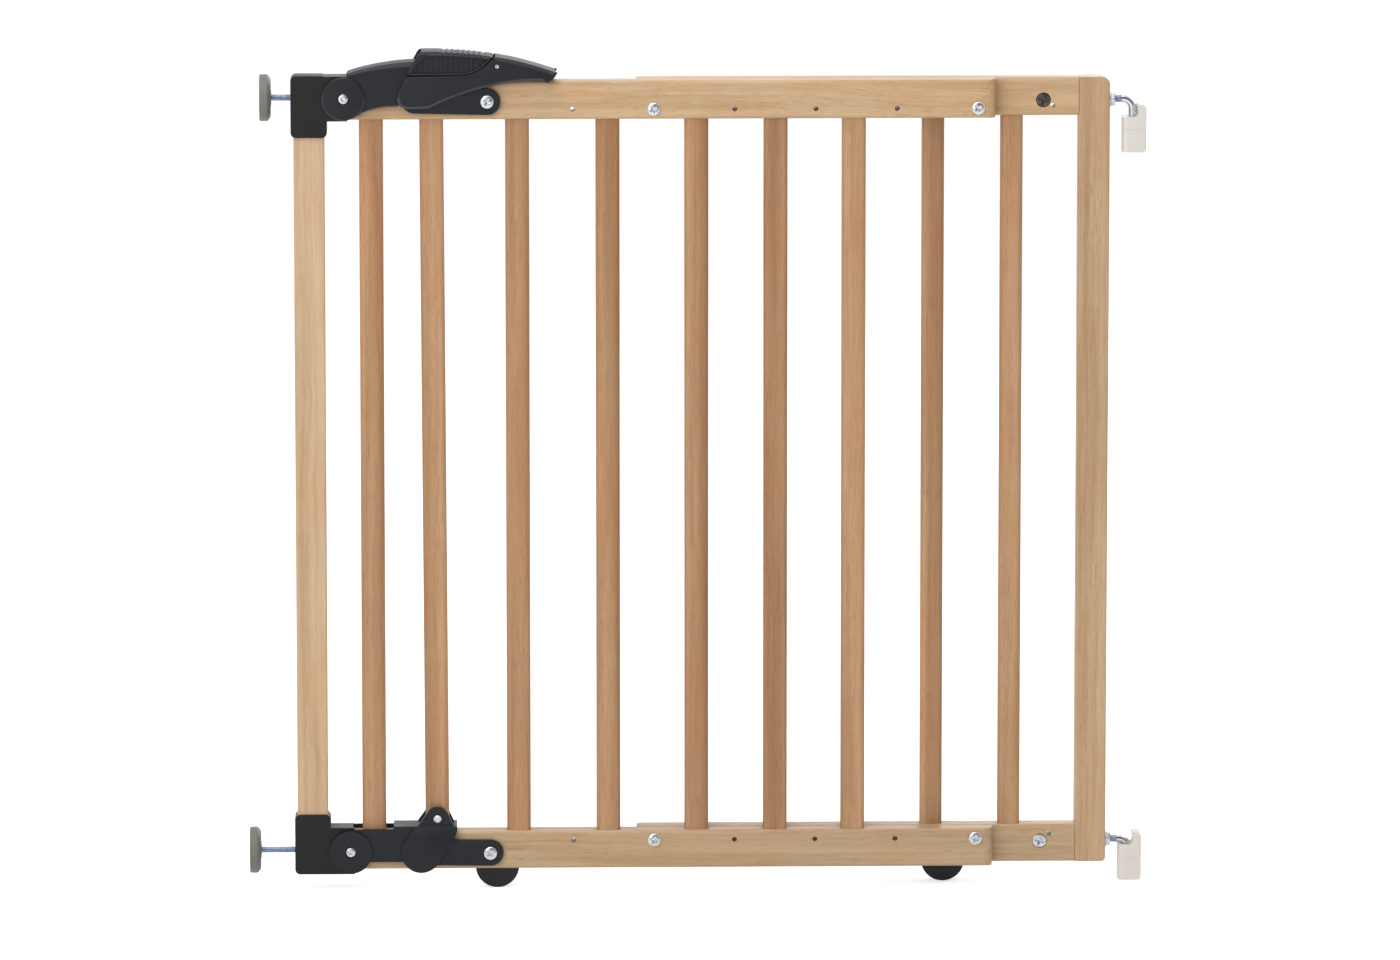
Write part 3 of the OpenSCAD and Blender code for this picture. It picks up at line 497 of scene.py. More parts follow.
def rim(edge, deepest=1.0):
    """Inset and depth of a chamfer as wide as the edge, from the flat face to the side. Its two
    corners are quadratic arcs, so that it catches a soft line of light."""
    edge = np.atleast_1d(edge)[None, :]
    deep = np.minimum(edge, deepest)
    soft = 0.35 * np.minimum(edge, 1.5 * MM)
    lean = soft / math.sqrt(2)
    t = np.linspace(0, 1, RIM_STEPS)[:, None]
    insets = np.vstack([edge + soft * (1 - t) ** 2 - lean * t ** 2, lean * (1 - t) ** 2])
    depths = np.vstack([lean * t ** 2, deep - lean * (1 - t) ** 2 + soft * t ** 2])
    return insets, depths


def plate_mesh(outline, low, high, low_edge, pits=(), deepest=1.0):
    """A flat plate: an outline in X and Z carried along Y from the low face to the high face, with a
    chamfered rim as wide as given at the low face and a narrow one at the high face. A pit is a round
    hole sunk into the low face, given as (x, z, radius, depth)."""
    outline = np.asarray(outline, dtype=float)
    count = len(outline)
    step = inward(outline)
    low_insets, low_depths = rim(low_edge, deepest)
    high_insets, high_depths = rim(0.4 * MM)
    shape = (2 * RIM_STEPS, count)
    insets = np.vstack([np.broadcast_to(low_insets, shape),
                        np.broadcast_to(high_insets, shape)[::-1]])
    along = np.vstack([low + np.broadcast_to(low_depths, shape),
                       high - np.broadcast_to(high_depths, shape)[::-1]])
    rings = outline[None] + insets[..., None] * step[None]
    points = laid(rings[..., 0], rings[..., 1], along).reshape(-1, 3)
    faces = grid_faces(len(insets), count) + [list(range(len(points) - count, len(points)))]
    loops, starts = [rings[0]], [np.arange(count)]
    turn = full_turn(PIT_SIDES)
    for x, z, radius, depth in pits:
        lip = 0.3 * MM
        radii = np.array([radius + lip, radius, radius])[:, None]
        depths = np.array([0.0, lip, depth])[:, None]
        across, up = x + radii * np.cos(turn), z + radii * np.sin(turn)
        first = len(points)
        points = np.vstack([points, laid(across, up, low + depths).reshape(-1, 3)])
        faces += grid_faces(3, PIT_SIDES, first=first)
        faces.append(list(range(first + 2 * PIT_SIDES, first + 3 * PIT_SIDES)))
        loops.append(np.stack([across[0], up[0]], axis=1))
        starts.append(np.arange(first, first + PIT_SIDES))
    flat = [[(x, z, 0.0) for x, z in loop.tolist()] for loop in loops]
    index = np.concatenate(starts)
    faces += index[np.array(tessellate_polygon(flat))].tolist()
    return points, faces


def box_section_mesh(line, half_width, thickness, bumps=0.0):
    """A strip that follows a line in X and Z: at each point a rectangle across Y, as thick as given,
    whose upper corners are rounded. Bumps lift the upper side."""
    line = np.asarray(line, dtype=float)
    rows = len(line)
    edge = 0.5 * MM
    flat = half_width - edge
    wide = np.array([-half_width, -half_width, -flat, flat, half_width, half_width])
    thickness = np.broadcast_to(thickness, rows)
    level = np.zeros(rows)
    drop = np.stack([-thickness, level - edge, level, level, level - edge, -thickness], axis=1)
    raised = np.array([0.0, 0.6, 1.0, 1.0, 0.6, 0.0])      # how much of a bump each corner takes
    lift = np.broadcast_to(bumps, rows)[:, None] * raised
    return closed_mesh(laid(line[:, :1], line[:, 1:] + drop + lift, FRONT_Y + wide))


def mirrored(mesh):
    """The same mesh on the far side of the front panel's middle plane."""
    points, faces = mesh
    points = points.copy()
    points[:, 1] = 2 * FRONT_Y - points[:, 1]
    return points, faces


def merged(name, meshes):
    """One piece out of several closed meshes of points and faces."""
    points = np.concatenate([mesh[0] for mesh in meshes])
    faces, first = [], 0
    for mesh in meshes:
        faces += [[index + first for index in face] for face in mesh[1]]
        first += len(mesh[0])
    return make_piece(name, points, faces)


def both_sides(mesh):
    """A mesh and its mirror image."""
    return [mesh, mirrored(mesh)]


def smooth_line(points, steps=8):
    """A curve through the points. Each stretch is a cubic whose slope at a point is half the step
    between its two neighbours."""
    p = np.asarray(points, dtype=float)
    p = np.vstack([2 * p[0] - p[1], p, 2 * p[-1] - p[-2]])
    a, b, c, d = p[:-3, None], p[1:-2, None], p[2:-1, None], p[3:, None]
    t = np.linspace(0, 1, steps, endpoint=False)[None, :, None]
    curve = b + 0.5 * t * ((c - a) + t * ((2 * a - 5 * b + 4 * c - d) + t * (3 * (b - c) + d - a)))
    return np.vstack([curve.reshape(-1, 2), p[-2:-1]])


def resampled(points, count):
    """The same line with count points at even distances along it."""
    points = np.asarray(points, dtype=float)
    length = np.concatenate([[0], np.cumsum(np.linalg.norm(np.diff(points, axis=0), axis=1))])
    places = np.linspace(0, length[-1], count)
    return np.stack([np.interp(places, length, points[:, 0]),
                     np.interp(places, length, points[:, 1])], axis=1)


def circle_line(centre, radius, count=96):
    """Points round a circle."""
    turn = full_turn(count)
    return np.asarray(centre) + radius * np.stack([np.cos(turn), np.sin(turn)], axis=1)


def swept_mesh(path, radius, count):
    """A circle carried along a path that stays in one XZ plane: one crosswise direction is Y, the
    other is the path's direction turned a quarter in that plane."""
    direction = np.gradient(path, axis=0)
    direction /= np.linalg.norm(direction, axis=1, keepdims=True)
    side = np.stack([-direction[:, 2], np.zeros(len(path)), direction[:, 0]], axis=1)
    turn = full_turn(count)[None, :, None]
    round_about = side[:, None] * np.cos(turn) + np.array([0, 1.0, 0]) * np.sin(turn)
    return closed_mesh(path[:, None] + radius[:, None, None] * round_about)


def smooth_step(low, high, value):
    """0 at low, 1 at high, three t squared less two t cubed between them."""
    t = np.clip((value - low) / (high - low), 0, 1)
    return t * t * (3 - 2 * t)


def thread_radius(turn, along, radius, pitch, depth):
    """A screw thread: the radius falls by the depth in a triangle wave whose phase is the place along
    the axis over the pitch, less one for each full turn."""
    phase = np.mod(along / pitch - turn / (2 * math.pi), 1.0)
    return radius - depth * np.clip(np.abs(2 * phase - 1) * 1.35 - 0.1, 0, 1)


def threaded_mesh(start, end, radius, pitch, depth, centre, axis, count):
    """A threaded rod from start to end along its axis, with both ends tapered over one pitch. There
    are six rings to each pitch."""
    along = np.linspace(start, end, int((end - start) / pitch * 6))[:, None]
    turn = full_turn(count)
    taper = np.minimum(np.abs(along - start), np.abs(end - along)) / pitch
    radii = thread_radius(turn, along, radius, pitch, depth)
    radii = np.minimum(radii, radius - depth + depth * np.clip(taper, 0, 1))
    return closed_mesh(around(axis, radii, turn, along, centre))


def cross_head_mesh(centre, face, radius, crown, cross, depth, skirt, spin):
    """A screw head that faces the front, as rings from the back of its skirt, round the rim at the
    face's Y, to its middle. It is raised as a flat dome. The cross is given as (reach, half width)
    and turned by the spin. Where the smaller of the distances from its two middle lines is under the
    half width and the larger is under the reach, the face drops by the depth over a short wall."""
    reach, half_slot = cross
    rings = np.concatenate([np.linspace(1, 0.72, 6), np.linspace(0.68, 0.012, 26)])[:, None] * radius
    turn = full_turn(72)
    c, d = rings * np.cos(turn - spin), rings * np.sin(turn - spin)
    dome = crown * np.sqrt(np.clip(1 - (rings / radius) ** 2 * 0.98, 0, 1))
    narrow = np.minimum(np.abs(c), np.abs(d))
    wide = np.maximum(np.abs(c), np.abs(d))
    wall = 0.35 * half_slot
    inside = (smooth_step(half_slot + wall, half_slot - wall, narrow)
              * smooth_step(reach + wall, reach - wall, wide))
    sunk = inside * depth * (1 - 0.45 * wide / reach).clip(0.3, 1)
    rings = np.vstack([[[radius]], rings])
    along = np.vstack([np.full_like(turn, face + skirt), face - (dome - sunk)])
    return closed_mesh(around("y", rings, turn, along, centre))


def softened(node_name, width):
    """A copy of a CAD node with its doubles merged and its flat triangles joined, and each of its
    sharp edges rounded by a bevel."""
    mesh = frame["nodes"][node_name].data.copy()
    mesh.materials.clear()
    if "custom_normal" in mesh.attributes:
        mesh.attributes.remove(mesh.attributes["custom_normal"])
    piece = tidy_mesh(node_name + "_soft", mesh, crease=50, flat_angle=4)
    bevel = piece.modifiers.new("rounded edges", "BEVEL")
    bevel.width = width
    bevel.segments = 3
    bevel.limit_method = "ANGLE"
    bevel.angle_limit = math.radians(38)
    bevel.harden_normals = True
    bevel.use_clamp_overlap = True
    bevel.miter_outer = "MITER_ARC"
    return piece


def stands_for(piece, body, material, slot, *nodes):
    """Gives a piece its finish and its body, and hides the CAD nodes that it replaces. The slot is not
    used.
    """
    piece.data.materials.append(material)
    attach(piece, body)
    if nodes:
        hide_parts(*nodes)


# ---------------------------------------------------------------- places taken from the frame

JOINTS = {joint["name"]: joint for joint in frame["joints"]}


def pivot_of(joint):
    """The place of a joint's axis."""
    return np.array(JOINTS[joint]["pos_m"])


def box_of(node):
    """A CAD node's lowest and highest corner."""
    low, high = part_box(node)
    return np.array(low), np.array(high)


def middle_of(node):
    """The middle of a CAD node's box."""
    low, high = box_of(node)
    return (low + high) / 2


UPPER_PIVOT = pivot_of("lever_lift")
LOWER_PIVOT = pivot_of("arm_lift")
GRIP_PIVOT = pivot_of("grip_squeeze")
FRONT_Y = UPPER_PIVOT[1]


# ---------------------------------------------------------------- screws, nuts and rods

WIDE_HEAD = 12.4 * MM        # diameter of the heads on the rails and on the links
BOLT_RADIUS = 3.0 * MM
SCREW_RADIUS = 2.3 * MM
FLANGE_RADIUS = 8.5 * MM
DOWEL_RADIUS = 6.7 * MM
HOOK_WIRE = 4.0 * MM         # half as thick as a hook bolt
HOOK_BEND = 9.5 * MM         # radius of a hook bolt's bend
HOOK_PLAIN = 87.6 * MM       # where a hook bolt's plain end starts, inside the end of its thread
HOOK_THREAD = 90.3 * MM


def pan_head_mesh(centre, face, diameter, height, spin, slot=0.16):
    """A pan head with a cross recess on a short collar, its crown at the given Y. The slot's half
    width is a share of the head's radius."""
    radius, rise = diameter / 2, height / 2
    return cross_head_mesh(centre, face + rise, radius, rise, (0.62 * radius, slot * radius),
                           0.62 * height, rise, spin)


def shank_mesh(centre, start, end, radius):
    """A plain round shank along Y with a small chamfer at both ends."""
    chamfer = 0.12 * radius
    profile = [(radius - chamfer, start), (radius, start + chamfer),
               (radius, end - chamfer), (radius - chamfer, end)]
    return turned_mesh(profile, centre, "y", 32)


def hex_mesh(centre, axis, start, end, across, bore):
    """A hexagon nut: six sides, with the corners cut back at both ends where the radius would pass
    a cone. The radius of a side at an angle is half the width over the cosine to its middle."""
    turn = full_turn(72)
    to_middle = np.mod(turn, math.pi / 3) - math.pi / 6
    side = across / 2 / np.cos(to_middle)
    depth = np.array([0.0, 0.08, 0.2, 0.8, 0.92, 1.0])
    lift = np.minimum(depth, 1 - depth) * (end - start)
    radii = np.minimum(side[None, :], 0.5 * across + lift[:, None] * 2.2)
    inner = np.full_like(turn, bore / 2)
    radii = np.vstack([inner, radii, inner])
    along = (start + (end - start) * np.pad(depth, 1, mode="edge"))[:, None]
    return closed_mesh(around(axis, radii, turn, along, centre), is_ring=True)


def set_finish(piece, node, material=None, also=()):
    """Lets a piece stand for a node, and for others besides, with the node's body and slot."""
    slot = CAD_SLOT[node]
    stands_for(piece, BODY_OF[node], material or SLOT_FINISH[slot], slot, node, *also)


def make_width_screws():
    """Four screws whose heads stand on the front rails."""
    low, high = box_of("width_screws")
    radius = WIDE_HEAD / 2
    meshes = []
    for x in (low[0] + radius, high[0] - radius):
        for z in (low[2] + radius, high[2] - radius):
            spin = 0.5 + 40 * x + 3 * z
            meshes += [pan_head_mesh((x, 0, z), low[1], WIDE_HEAD, 3.4 * MM, spin),
                       shank_mesh((x, 0, z), low[1] + 2.6 * MM, high[1], SCREW_RADIUS)]
    set_finish(merged("width_screw_set", meshes), "width_screws")


def make_link_bolt(node, spin):
    """A shouldered bolt with a cross head in front and a nut and a little thread behind."""
    low, high = box_of(node)
    centre = middle_of(node) * (1, 0, 1)
    start = high[1] - 4.2 * MM
    meshes = [pan_head_mesh(centre, low[1], WIDE_HEAD, 3.2 * MM, spin),
              shank_mesh(centre, low[1] + 2.4 * MM, high[1] - 4.0 * MM, BOLT_RADIUS),
              threaded_mesh(start, high[1], BOLT_RADIUS, 0.8 * MM, 0.48 * MM, centre, "y", 24),
              hex_mesh(centre, "y", high[1] - 3.6 * MM, high[1] - 0.6 * MM, 10 * MM, 5.9 * MM)]
    set_finish(merged(node + "_set", meshes), node)


def make_pivot_bolt(node, spin):
    """The bolt in a lever disc: a small sunk cross head in front, a nut behind."""
    low, high = box_of(node)
    centre = middle_of(node) * (1, 0, 1)
    meshes = [pan_head_mesh(centre, low[1], 9.3 * MM, 2.0 * MM, spin, 0.2),
              shank_mesh(centre, low[1] + 1.5 * MM, high[1] - 2.4 * MM, BOLT_RADIUS),
              hex_mesh(centre, "y", high[1] - 2.4 * MM, high[1], 9 * MM, 5 * MM)]
    set_finish(merged(node + "_set", meshes), node)


def make_spindle(node):
    """A wall pad's threaded spindle."""
    low, high = box_of(node)
    centre = middle_of(node) * (0, 1, 1)
    radius = (high[2] - low[2]) / 2
    thread = threaded_mesh(low[0], high[0], radius, 1.0 * MM, 0.55 * MM, centre, "x", 24)
    set_finish(make_piece(node + "_thread", *thread), node, blue_zinc)


def make_pad(node):
    """A wall pad: flat face with a soft rim, a coned back, a raised hub with the spindle's socket and
    shallow rings moulded into the back."""
    low, high = box_of(node)
    centre = middle_of(node) * (0, 1, 1)
    r = (high[2] - low[2]) / 2
    front, back = low[0], high[0]
    corners = [(0.3 * MM, front + 0.6 * MM), (0.55 * r, front + 0.5 * MM), (0.6 * r, front),
               (r - 0.2 * MM, front), (r, back - 4.0 * MM), (r - 1.2 * MM, back - 2.6 * MM),
               (r - 4.5 * MM, back - 0.4 * MM), (r - 6.0 * MM, back - 0.9 * MM),
               (8.6 * MM, back - 0.9 * MM), (8.0 * MM, back), (4.2 * MM, back),
               (3.5 * MM, back - 0.8 * MM), (0.3 * MM, back - 0.8 * MM)]
    mesh = turned_mesh(rounded_profile(corners, 0.9 * MM), centre, "x", 96)
    set_finish(make_piece(node + "_moulding", *mesh, crease=35), node)


def hook_path(low, high):
    """A hook bolt's plain middle line: along X, a quarter circle, then straight down Z."""
    x_leg, z_shank = high[0] - HOOK_WIRE, high[2] - HOOK_WIRE
    straight = np.linspace(low[0] + HOOK_PLAIN, x_leg - HOOK_BEND, 8)[:-1]
    turn = np.linspace(math.pi / 2, 0, 17)
    drop = np.linspace(z_shank - HOOK_BEND, low[2] + 0.5 * MM, 10)[1:]
    along = np.concatenate([straight, x_leg - HOOK_BEND + HOOK_BEND * np.cos(turn),
                            np.full(len(drop), x_leg)])
    up = np.concatenate([np.full(len(straight), z_shank),
                         z_shank - HOOK_BEND + HOOK_BEND * np.sin(turn), drop])
    return np.stack([along, np.zeros_like(along), up], axis=1)


def make_hook_bolt(node):
    """A hook bolt: threaded where it goes through the stile and the barrel nut, plain at the bend."""
    low, high = box_of(node)
    path = hook_path(low, high)
    radius = np.full(len(path), HOOK_WIRE - 0.02 * MM)
    radius[-1] = 3.4 * MM
    centre = (0, 0, high[2] - HOOK_WIRE)
    thread = threaded_mesh(low[0], low[0] + HOOK_THREAD, HOOK_WIRE - 0.2 * MM, 1.25 * MM, 0.6 * MM,
                           centre, "x", 28)
    set_finish(make_piece(node + "_bend", *swept_mesh(path, radius, 32)), node, chrome)
    set_finish(make_piece(node + "_thread", *thread), node, blue_zinc)


def make_flange_nuts():
    """Two hexagon nuts with a round flange against the stile."""
    low, high = box_of("flange_nuts")
    bore, bevel = 3.9 * MM, 6.9 * MM
    rim_end, flange_end = low[0] + 0.9 * MM, low[0] + 1.8 * MM
    profile = rounded_profile([(bore, low[0]), (FLANGE_RADIUS, low[0]), (FLANGE_RADIUS, rim_end),
                               (bevel, flange_end), (bore, flange_end)], 0.3 * MM, 4)
    meshes = []
    for z in (low[2] + FLANGE_RADIUS, high[2] - FLANGE_RADIUS):
        meshes += [turned_mesh(profile, (0, 0, z), "x", 64, is_ring=True),
                   hex_mesh((0, 0, z), "x", low[0] + 1.5 * MM, high[0], 13 * MM, 2 * bore)]
    set_finish(merged("flange_nut_pair", meshes), "flange_nuts", zinc)


def make_barrel_nuts():
    """Two cross dowels whose visible end has a cross slot cut into its face."""
    low, high = box_of("barrel_nuts")
    crown = 0.5 * MM
    ends = (("lower", low[2] + DOWEL_RADIUS, zinc), ("upper", high[2] - DOWEL_RADIUS, dark_steel))
    for place, z, finish in ends:
        centre = (middle_of("barrel_nuts")[0], 0, z)
        head = cross_head_mesh(centre, low[1] + crown, DOWEL_RADIUS, crown,
                               (0.72 * DOWEL_RADIUS, 0.14 * DOWEL_RADIUS), 2.6 * MM,
                               high[1] - low[1] - crown, spin=0.26)
        set_finish(make_piece(place + "_barrel_nut", *head), "barrel_nuts", finish)


make_width_screws()
make_link_bolt("upper_link_bolt", 0.5)
make_link_bolt("lower_link_bolt", 0.9)
make_pivot_bolt("upper_pivot_bolt", 0.35)
make_pivot_bolt("lower_pivot_bolt", 0.1)
for half in ("upper", "lower"):
    make_spindle(half + "_spindle")
for half in ("upper", "lower"):
    make_pad(half + "_pad")
for half in ("upper", "lower"):
    make_hook_bolt(half + "_hook_bolt")
make_flange_nuts()
make_barrel_nuts()


# ---------------------------------------------------------------- clamp lever

# Layers of the clamp, as distances from the front panel's middle plane
CHEEK_IN = 13.5 * MM
CHEEK_OUT = 16.8 * MM
DISC_OUT = 19.5 * MM
LINK_OUT = 15.9 * MM
SHELL_IN = 16.1 * MM
GRIP_IN = 17.1 * MM
SHELL_OUT = 20.4 * MM
ROOF = 2.6 * MM          # thickness of the roofs that join the sides
ROOF_OVERLAP = 0.1 * MM  # how far a roof runs into the chamfers beside it
DISC_RADIUS = 20.6 * MM
PANEL_RIM = 0.5 * MM     # chamfer along the seam between grip and beak
BROW = 3.2 * MM          # chamfer along the top edges
LOW_BROW = 2.3 * MM      # chamfer along the beak's lower edge and the heel

# The ridges across the grip's top, in millimetres from the lever's pivot
FIRST_RIDGE, LAST_RIDGE, RIDGE_PITCH = 93.0, 136.4, 5.3
RIDGE_DEPTH = 0.65 * MM

# The ribs in the grip's window, in millimetres from the lever's pivot
FIRST_RIB, RIB_LIMIT, RIB_PITCH, HALF_RIB = 69.0, 134.0, 4.9, 0.6

# Outlines in millimetres from the lever's pivot: along the rail, and up
NECK_TOP = [[4.1, 24.2], [13, 27.1], [22.6, 29.5], [31.5, 31.4], [40.9, 32.9], [52, 34.4], [68.4, 35.6]]
NECK_END = [[68.4, 24], [64, 21], [60.4, 19], [60.4, 12], [58.9, 9.8], [55, 6.6], [52.9, 2.4],
            [52.3, -2], [53, -6.4]]
NECK_LOW = [[51.5, -7.6], [37.8, -8.2], [22.6, -11.8], [12, -16.8], [6, -18.6]]
NECK_DISC = [[-1, -14], [-1, 12]]
BEAK_TOP = [[145.3, 40.2], [163, 36.9], [183, 31.6], [202.4, 25.5]]
BEAK_TIP = [[202.4, 25.5], [204.2, 25.6], [204.4, 24.3], [200.9, 19.2], [197.8, 16.9],
            [194.9, 14.7], [193.3, 15.6], [192.2, 17.4]]
BEAK_LOW = [[192.2, 17.4], [176, 16.8], [157, 15], [142.6, 12.2], [130.4, 9.3], [115, 4.7],
            [96.7, -2.2], [83, -8.4]]
SEAM_LIP = [[64, 20], [113, 20], [123, 21.6], [127, 23.2], [135.6, 28.4], [142.2, 34.6],
            [143, 36.4], [140.6, 37.4], [137.4, 36.2], [131.4, 31.0], [122.8, 26.2], [113, 24.6],
            [64, 24.6]]
HEEL = [[78, -9.5], [60.5, -9.5], [54.5, -6.8], [51.3, -1], [52.5, 6.7], [56, 15], [59.6, 22.4]]
SEAM = [[114.6, 22.4], [124.5, 24.6], [133, 29.5], [139.5, 35.2], [144.6, 39.9]]
BEAK_WEB = [[100, 22.2], [106, 22.2], [112, 22.2]]
GRIP_FOOT = [[60.3, 23.3], [113.8, 23.3]]
GRIP_LOW = [[113.8, 23.3], [123.8, 25.6], [132.2, 30.4], [138.4, 35.8], [142.6, 39.9]]
GRIP_TOP = [[143.0, 40.1], [128, 42.8], [110, 44.3], [92, 45.05], [78, 45.15]]
GRIP_BACK = [[73.4, 44.8], [71.3, 43.2], [60.3, 23.3]]
GRIP_ROOF_END = [[74.4, 44.9]]
GRIP_NECK = [[123, 40.5], [136, 37.4], [147, 31.5]]
GRIP_NOSE = [[143.5, 30.7], [144.2, 19.8], [149, 19.8], [149, 22], [147.7, 23.6], [150.7, 30.7]]
WINDOW_LOW = [[64.6, 24.3], [113.4, 24.3]]
WINDOW_RIGHT = [[113.4, 24.3], [122.6, 26.4], [130.2, 30.6], [136.2, 36.0], [138.2, 38.2]]
WINDOW_TOP = [[138.2, 38.2], [126, 39.9], [110, 41.1], [88, 41.5], [79.6, 41.0]]
WINDOW_LEFT = [[79.6, 41.0], [76.6, 39.4], [69.2, 31.2], [64.2, 24.3]]

# The lower arm's knee lip, in millimetres from the lower pivot
KNEE_LIP = [[51.6, 7.4], [54, 10.6], [57.2, 15.6], [51.6, 15.6]]


def at_lever(points, pivot=UPPER_PIVOT):
    """Millimetres from the pivot, as X and Z in the frame."""
    return np.asarray(points, dtype=float) * MM + pivot[[0, 2]]


def edges_of(*stretches):
    """One edge width for each point, from stretches of (points, width)."""
    return np.concatenate([np.full(len(points), width) for points, width in stretches])


def side_plates(outline, outer, inner, edges, **more):
    """A plate on each side of the panel's middle plane, from its outer to its inner layer."""
    return both_sides(plate_mesh(outline, FRONT_Y - outer, FRONT_Y - inner, edges, **more))


def neck_meshes():
    """The neck's two cheeks, with a deep brow that widens away from the pivot, and the boss over the
    pivot with a sunk place for the screw."""
    top, low = smooth_line(NECK_TOP), smooth_line(NECK_LOW)
    brow = np.linspace(2.2, 4.6, len(top)) * MM
    edges = np.concatenate([brow, edges_of((NECK_END, 0.6 * MM), (low, 1.2 * MM), (NECK_DISC, 0.6 * MM))])
    outline = np.vstack([top, NECK_END, low, NECK_DISC])
    screw_pit = (UPPER_PIVOT[0], UPPER_PIVOT[2], 5.4 * MM, 2.6 * MM)
    return (side_plates(at_lever(outline), CHEEK_OUT, CHEEK_IN, edges, deepest=2.4 * MM)
            + side_plates(circle_line(UPPER_PIVOT[[0, 2]], DISC_RADIUS), DISC_OUT, CHEEK_IN, 0.9 * MM,
                          pits=[screw_pit]))


def beak_meshes():
    """The beak's two cheeks, with a sunk place for the grip's pin, and the lip behind the seam. The
    chamfers narrow towards the tip, by the distance from it."""
    top, low = smooth_line(BEAK_TOP), smooth_line(BEAK_LOW)
    tip = rounded_profile(BEAK_TIP, 0.8, 4)[1:-1]
    heel, seam = smooth_line(HEEL), smooth_line(SEAM)
    from_tip = np.linalg.norm(top - top[-1], axis=1) * MM
    low_from_tip = np.linalg.norm(low - low[0], axis=1) * MM
    edges = np.concatenate([np.full(len(seam), PANEL_RIM),
                            np.minimum(BROW, PANEL_RIM + 1.2 * from_tip),
                            np.full(len(tip), 0.45 * MM),
                            np.minimum(LOW_BROW, PANEL_RIM + 0.5 * low_from_tip),
                            np.full(len(heel), LOW_BROW)])
    outline = np.vstack([seam, top, tip, low, heel])
    keep = np.linalg.norm(outline - np.roll(outline, 1, axis=0), axis=1) > 0.05
    pin_pit = (GRIP_PIVOT[0], GRIP_PIVOT[2], 3.1 * MM, 3.0 * MM)
    return (side_plates(at_lever(outline[keep]), SHELL_OUT, SHELL_IN, edges[keep], pits=[pin_pit])
            + side_plates(at_lever(SEAM_LIP), CHEEK_OUT, LINK_OUT, 0.2 * MM))


def make_lever():
    """The lever's body: neck and beak, each with its two sides joined by a roof, a web between them
    and a boss at the rod's pin."""
    rod_pin = UPPER_PIVOT + np.array([83.7, 0, 32]) * MM
    roof_width = SHELL_OUT - BROW + ROOF_OVERLAP
    meshes = neck_meshes() + beak_meshes() + [
        box_section_mesh(at_lever(smooth_line(NECK_TOP)), CHEEK_OUT - 2.5 * MM, ROOF),
        box_section_mesh(at_lever(smooth_line(BEAK_TOP)), roof_width, ROOF),
        box_section_mesh(at_lever(BEAK_WEB), SHELL_IN + 0.5 * MM, ROOF)]
    meshes += side_plates(circle_line(rod_pin[[0, 2]], 6.5 * MM, count=48), 15 * MM, 8 * MM, 0.5 * MM)
    set_finish(merged("lever_body", meshes), "lever_front_shell", also=("lever_rear_shell",))


def ridge_drop(u):
    """How far the grip's top lies below its ridges, at u millimetres from the pivot: a clipped cosine
    between the first and the last ridge, none beyond them."""
    wave = np.clip(np.cos(2 * math.pi * (u - FIRST_RIDGE - 1) / RIDGE_PITCH), -0.2, 1)
    return ((wave - 1) * RIDGE_DEPTH * smooth_step(FIRST_RIDGE - 1, FIRST_RIDGE + 1, u)
            * smooth_step(LAST_RIDGE + 1, LAST_RIDGE - 1, u))


def framed_panel_mesh():
    """A side of the grip. The outer outline and the window's are cut into the same stretches with the
    same number of points, so rings join one to the other: chamfered rim, flat frame, window wall. The
    chamfer's width is a running mean along the outline, and narrows at the two sharp corners. The
    ridges of the grip's top run out over the rim."""
    counts = (40, 30, 130, 24)
    widths = (PANEL_RIM, PANEL_RIM, BROW, 1.6 * MM)
    top_line = smooth_line(GRIP_TOP)
    back_line = np.vstack([top_line[-1:], rounded_profile(GRIP_BACK, 1.5, 4)])
    outer = (GRIP_FOOT, smooth_line(GRIP_LOW), top_line, back_line)
    inner = (WINDOW_LOW, smooth_line(WINDOW_RIGHT), smooth_line(WINDOW_TOP), smooth_line(WINDOW_LEFT))
    outer = [resampled(line, n)[:-1] for line, n in zip(outer, counts)]
    inner = [resampled(line, n)[:-1] for line, n in zip(inner, counts)]
    outer_line, inner_line = np.vstack(outer), np.vstack(inner)
    edges = edges_of(*zip(outer, widths))
    blend = np.convolve(np.concatenate([edges[-6:], edges, edges[:6]]), np.ones(13) / 13, "valid")
    first = len(outer[0]) + len(outer[1])
    for corner in (0, first):
        reach = np.linalg.norm(outer_line - outer_line[corner], axis=1)
        blend = np.minimum(blend, (0.15 + 0.45 * reach) * MM)
    top = slice(first, first + len(outer[2]))
    ridges = np.zeros_like(outer_line)
    ridges[top, 1] = ridge_drop(outer_line[top, 0])
    outer_line, inner_line = at_lever(outer_line), at_lever(inner_line)
    step, inner_step = inward(outer_line), inward(inner_line)
    insets, depths = rim(blend)
    face, back = FRONT_Y - SHELL_OUT, FRONT_Y - GRIP_IN
    back_rim = 0.3 * MM
    rings = [outer_line + back_rim * step + ridges, outer_line + ridges]
    along = [np.full(len(blend), back), np.full(len(blend), back - back_rim)]
    for inset_row, depth_row in zip(insets[::-1], depths[::-1]):
        fade = np.clip(1 - inset_row / blend, 0, 1)[:, None]
        rings.append(outer_line + inset_row[:, None] * step + fade * ridges)
        along.append(face + depth_row)
    for inset_by, depth in ((0.0, 0.0), (0.25 * MM, 0.25 * MM), (0.4 * MM, 2.4 * MM)):
        rings.append(inner_line + inset_by * inner_step)
        along.append(np.full(len(blend), face + depth))
    rings = np.stack(rings)
    return closed_mesh(laid(rings[..., 0], rings[..., 1], np.stack(along)))


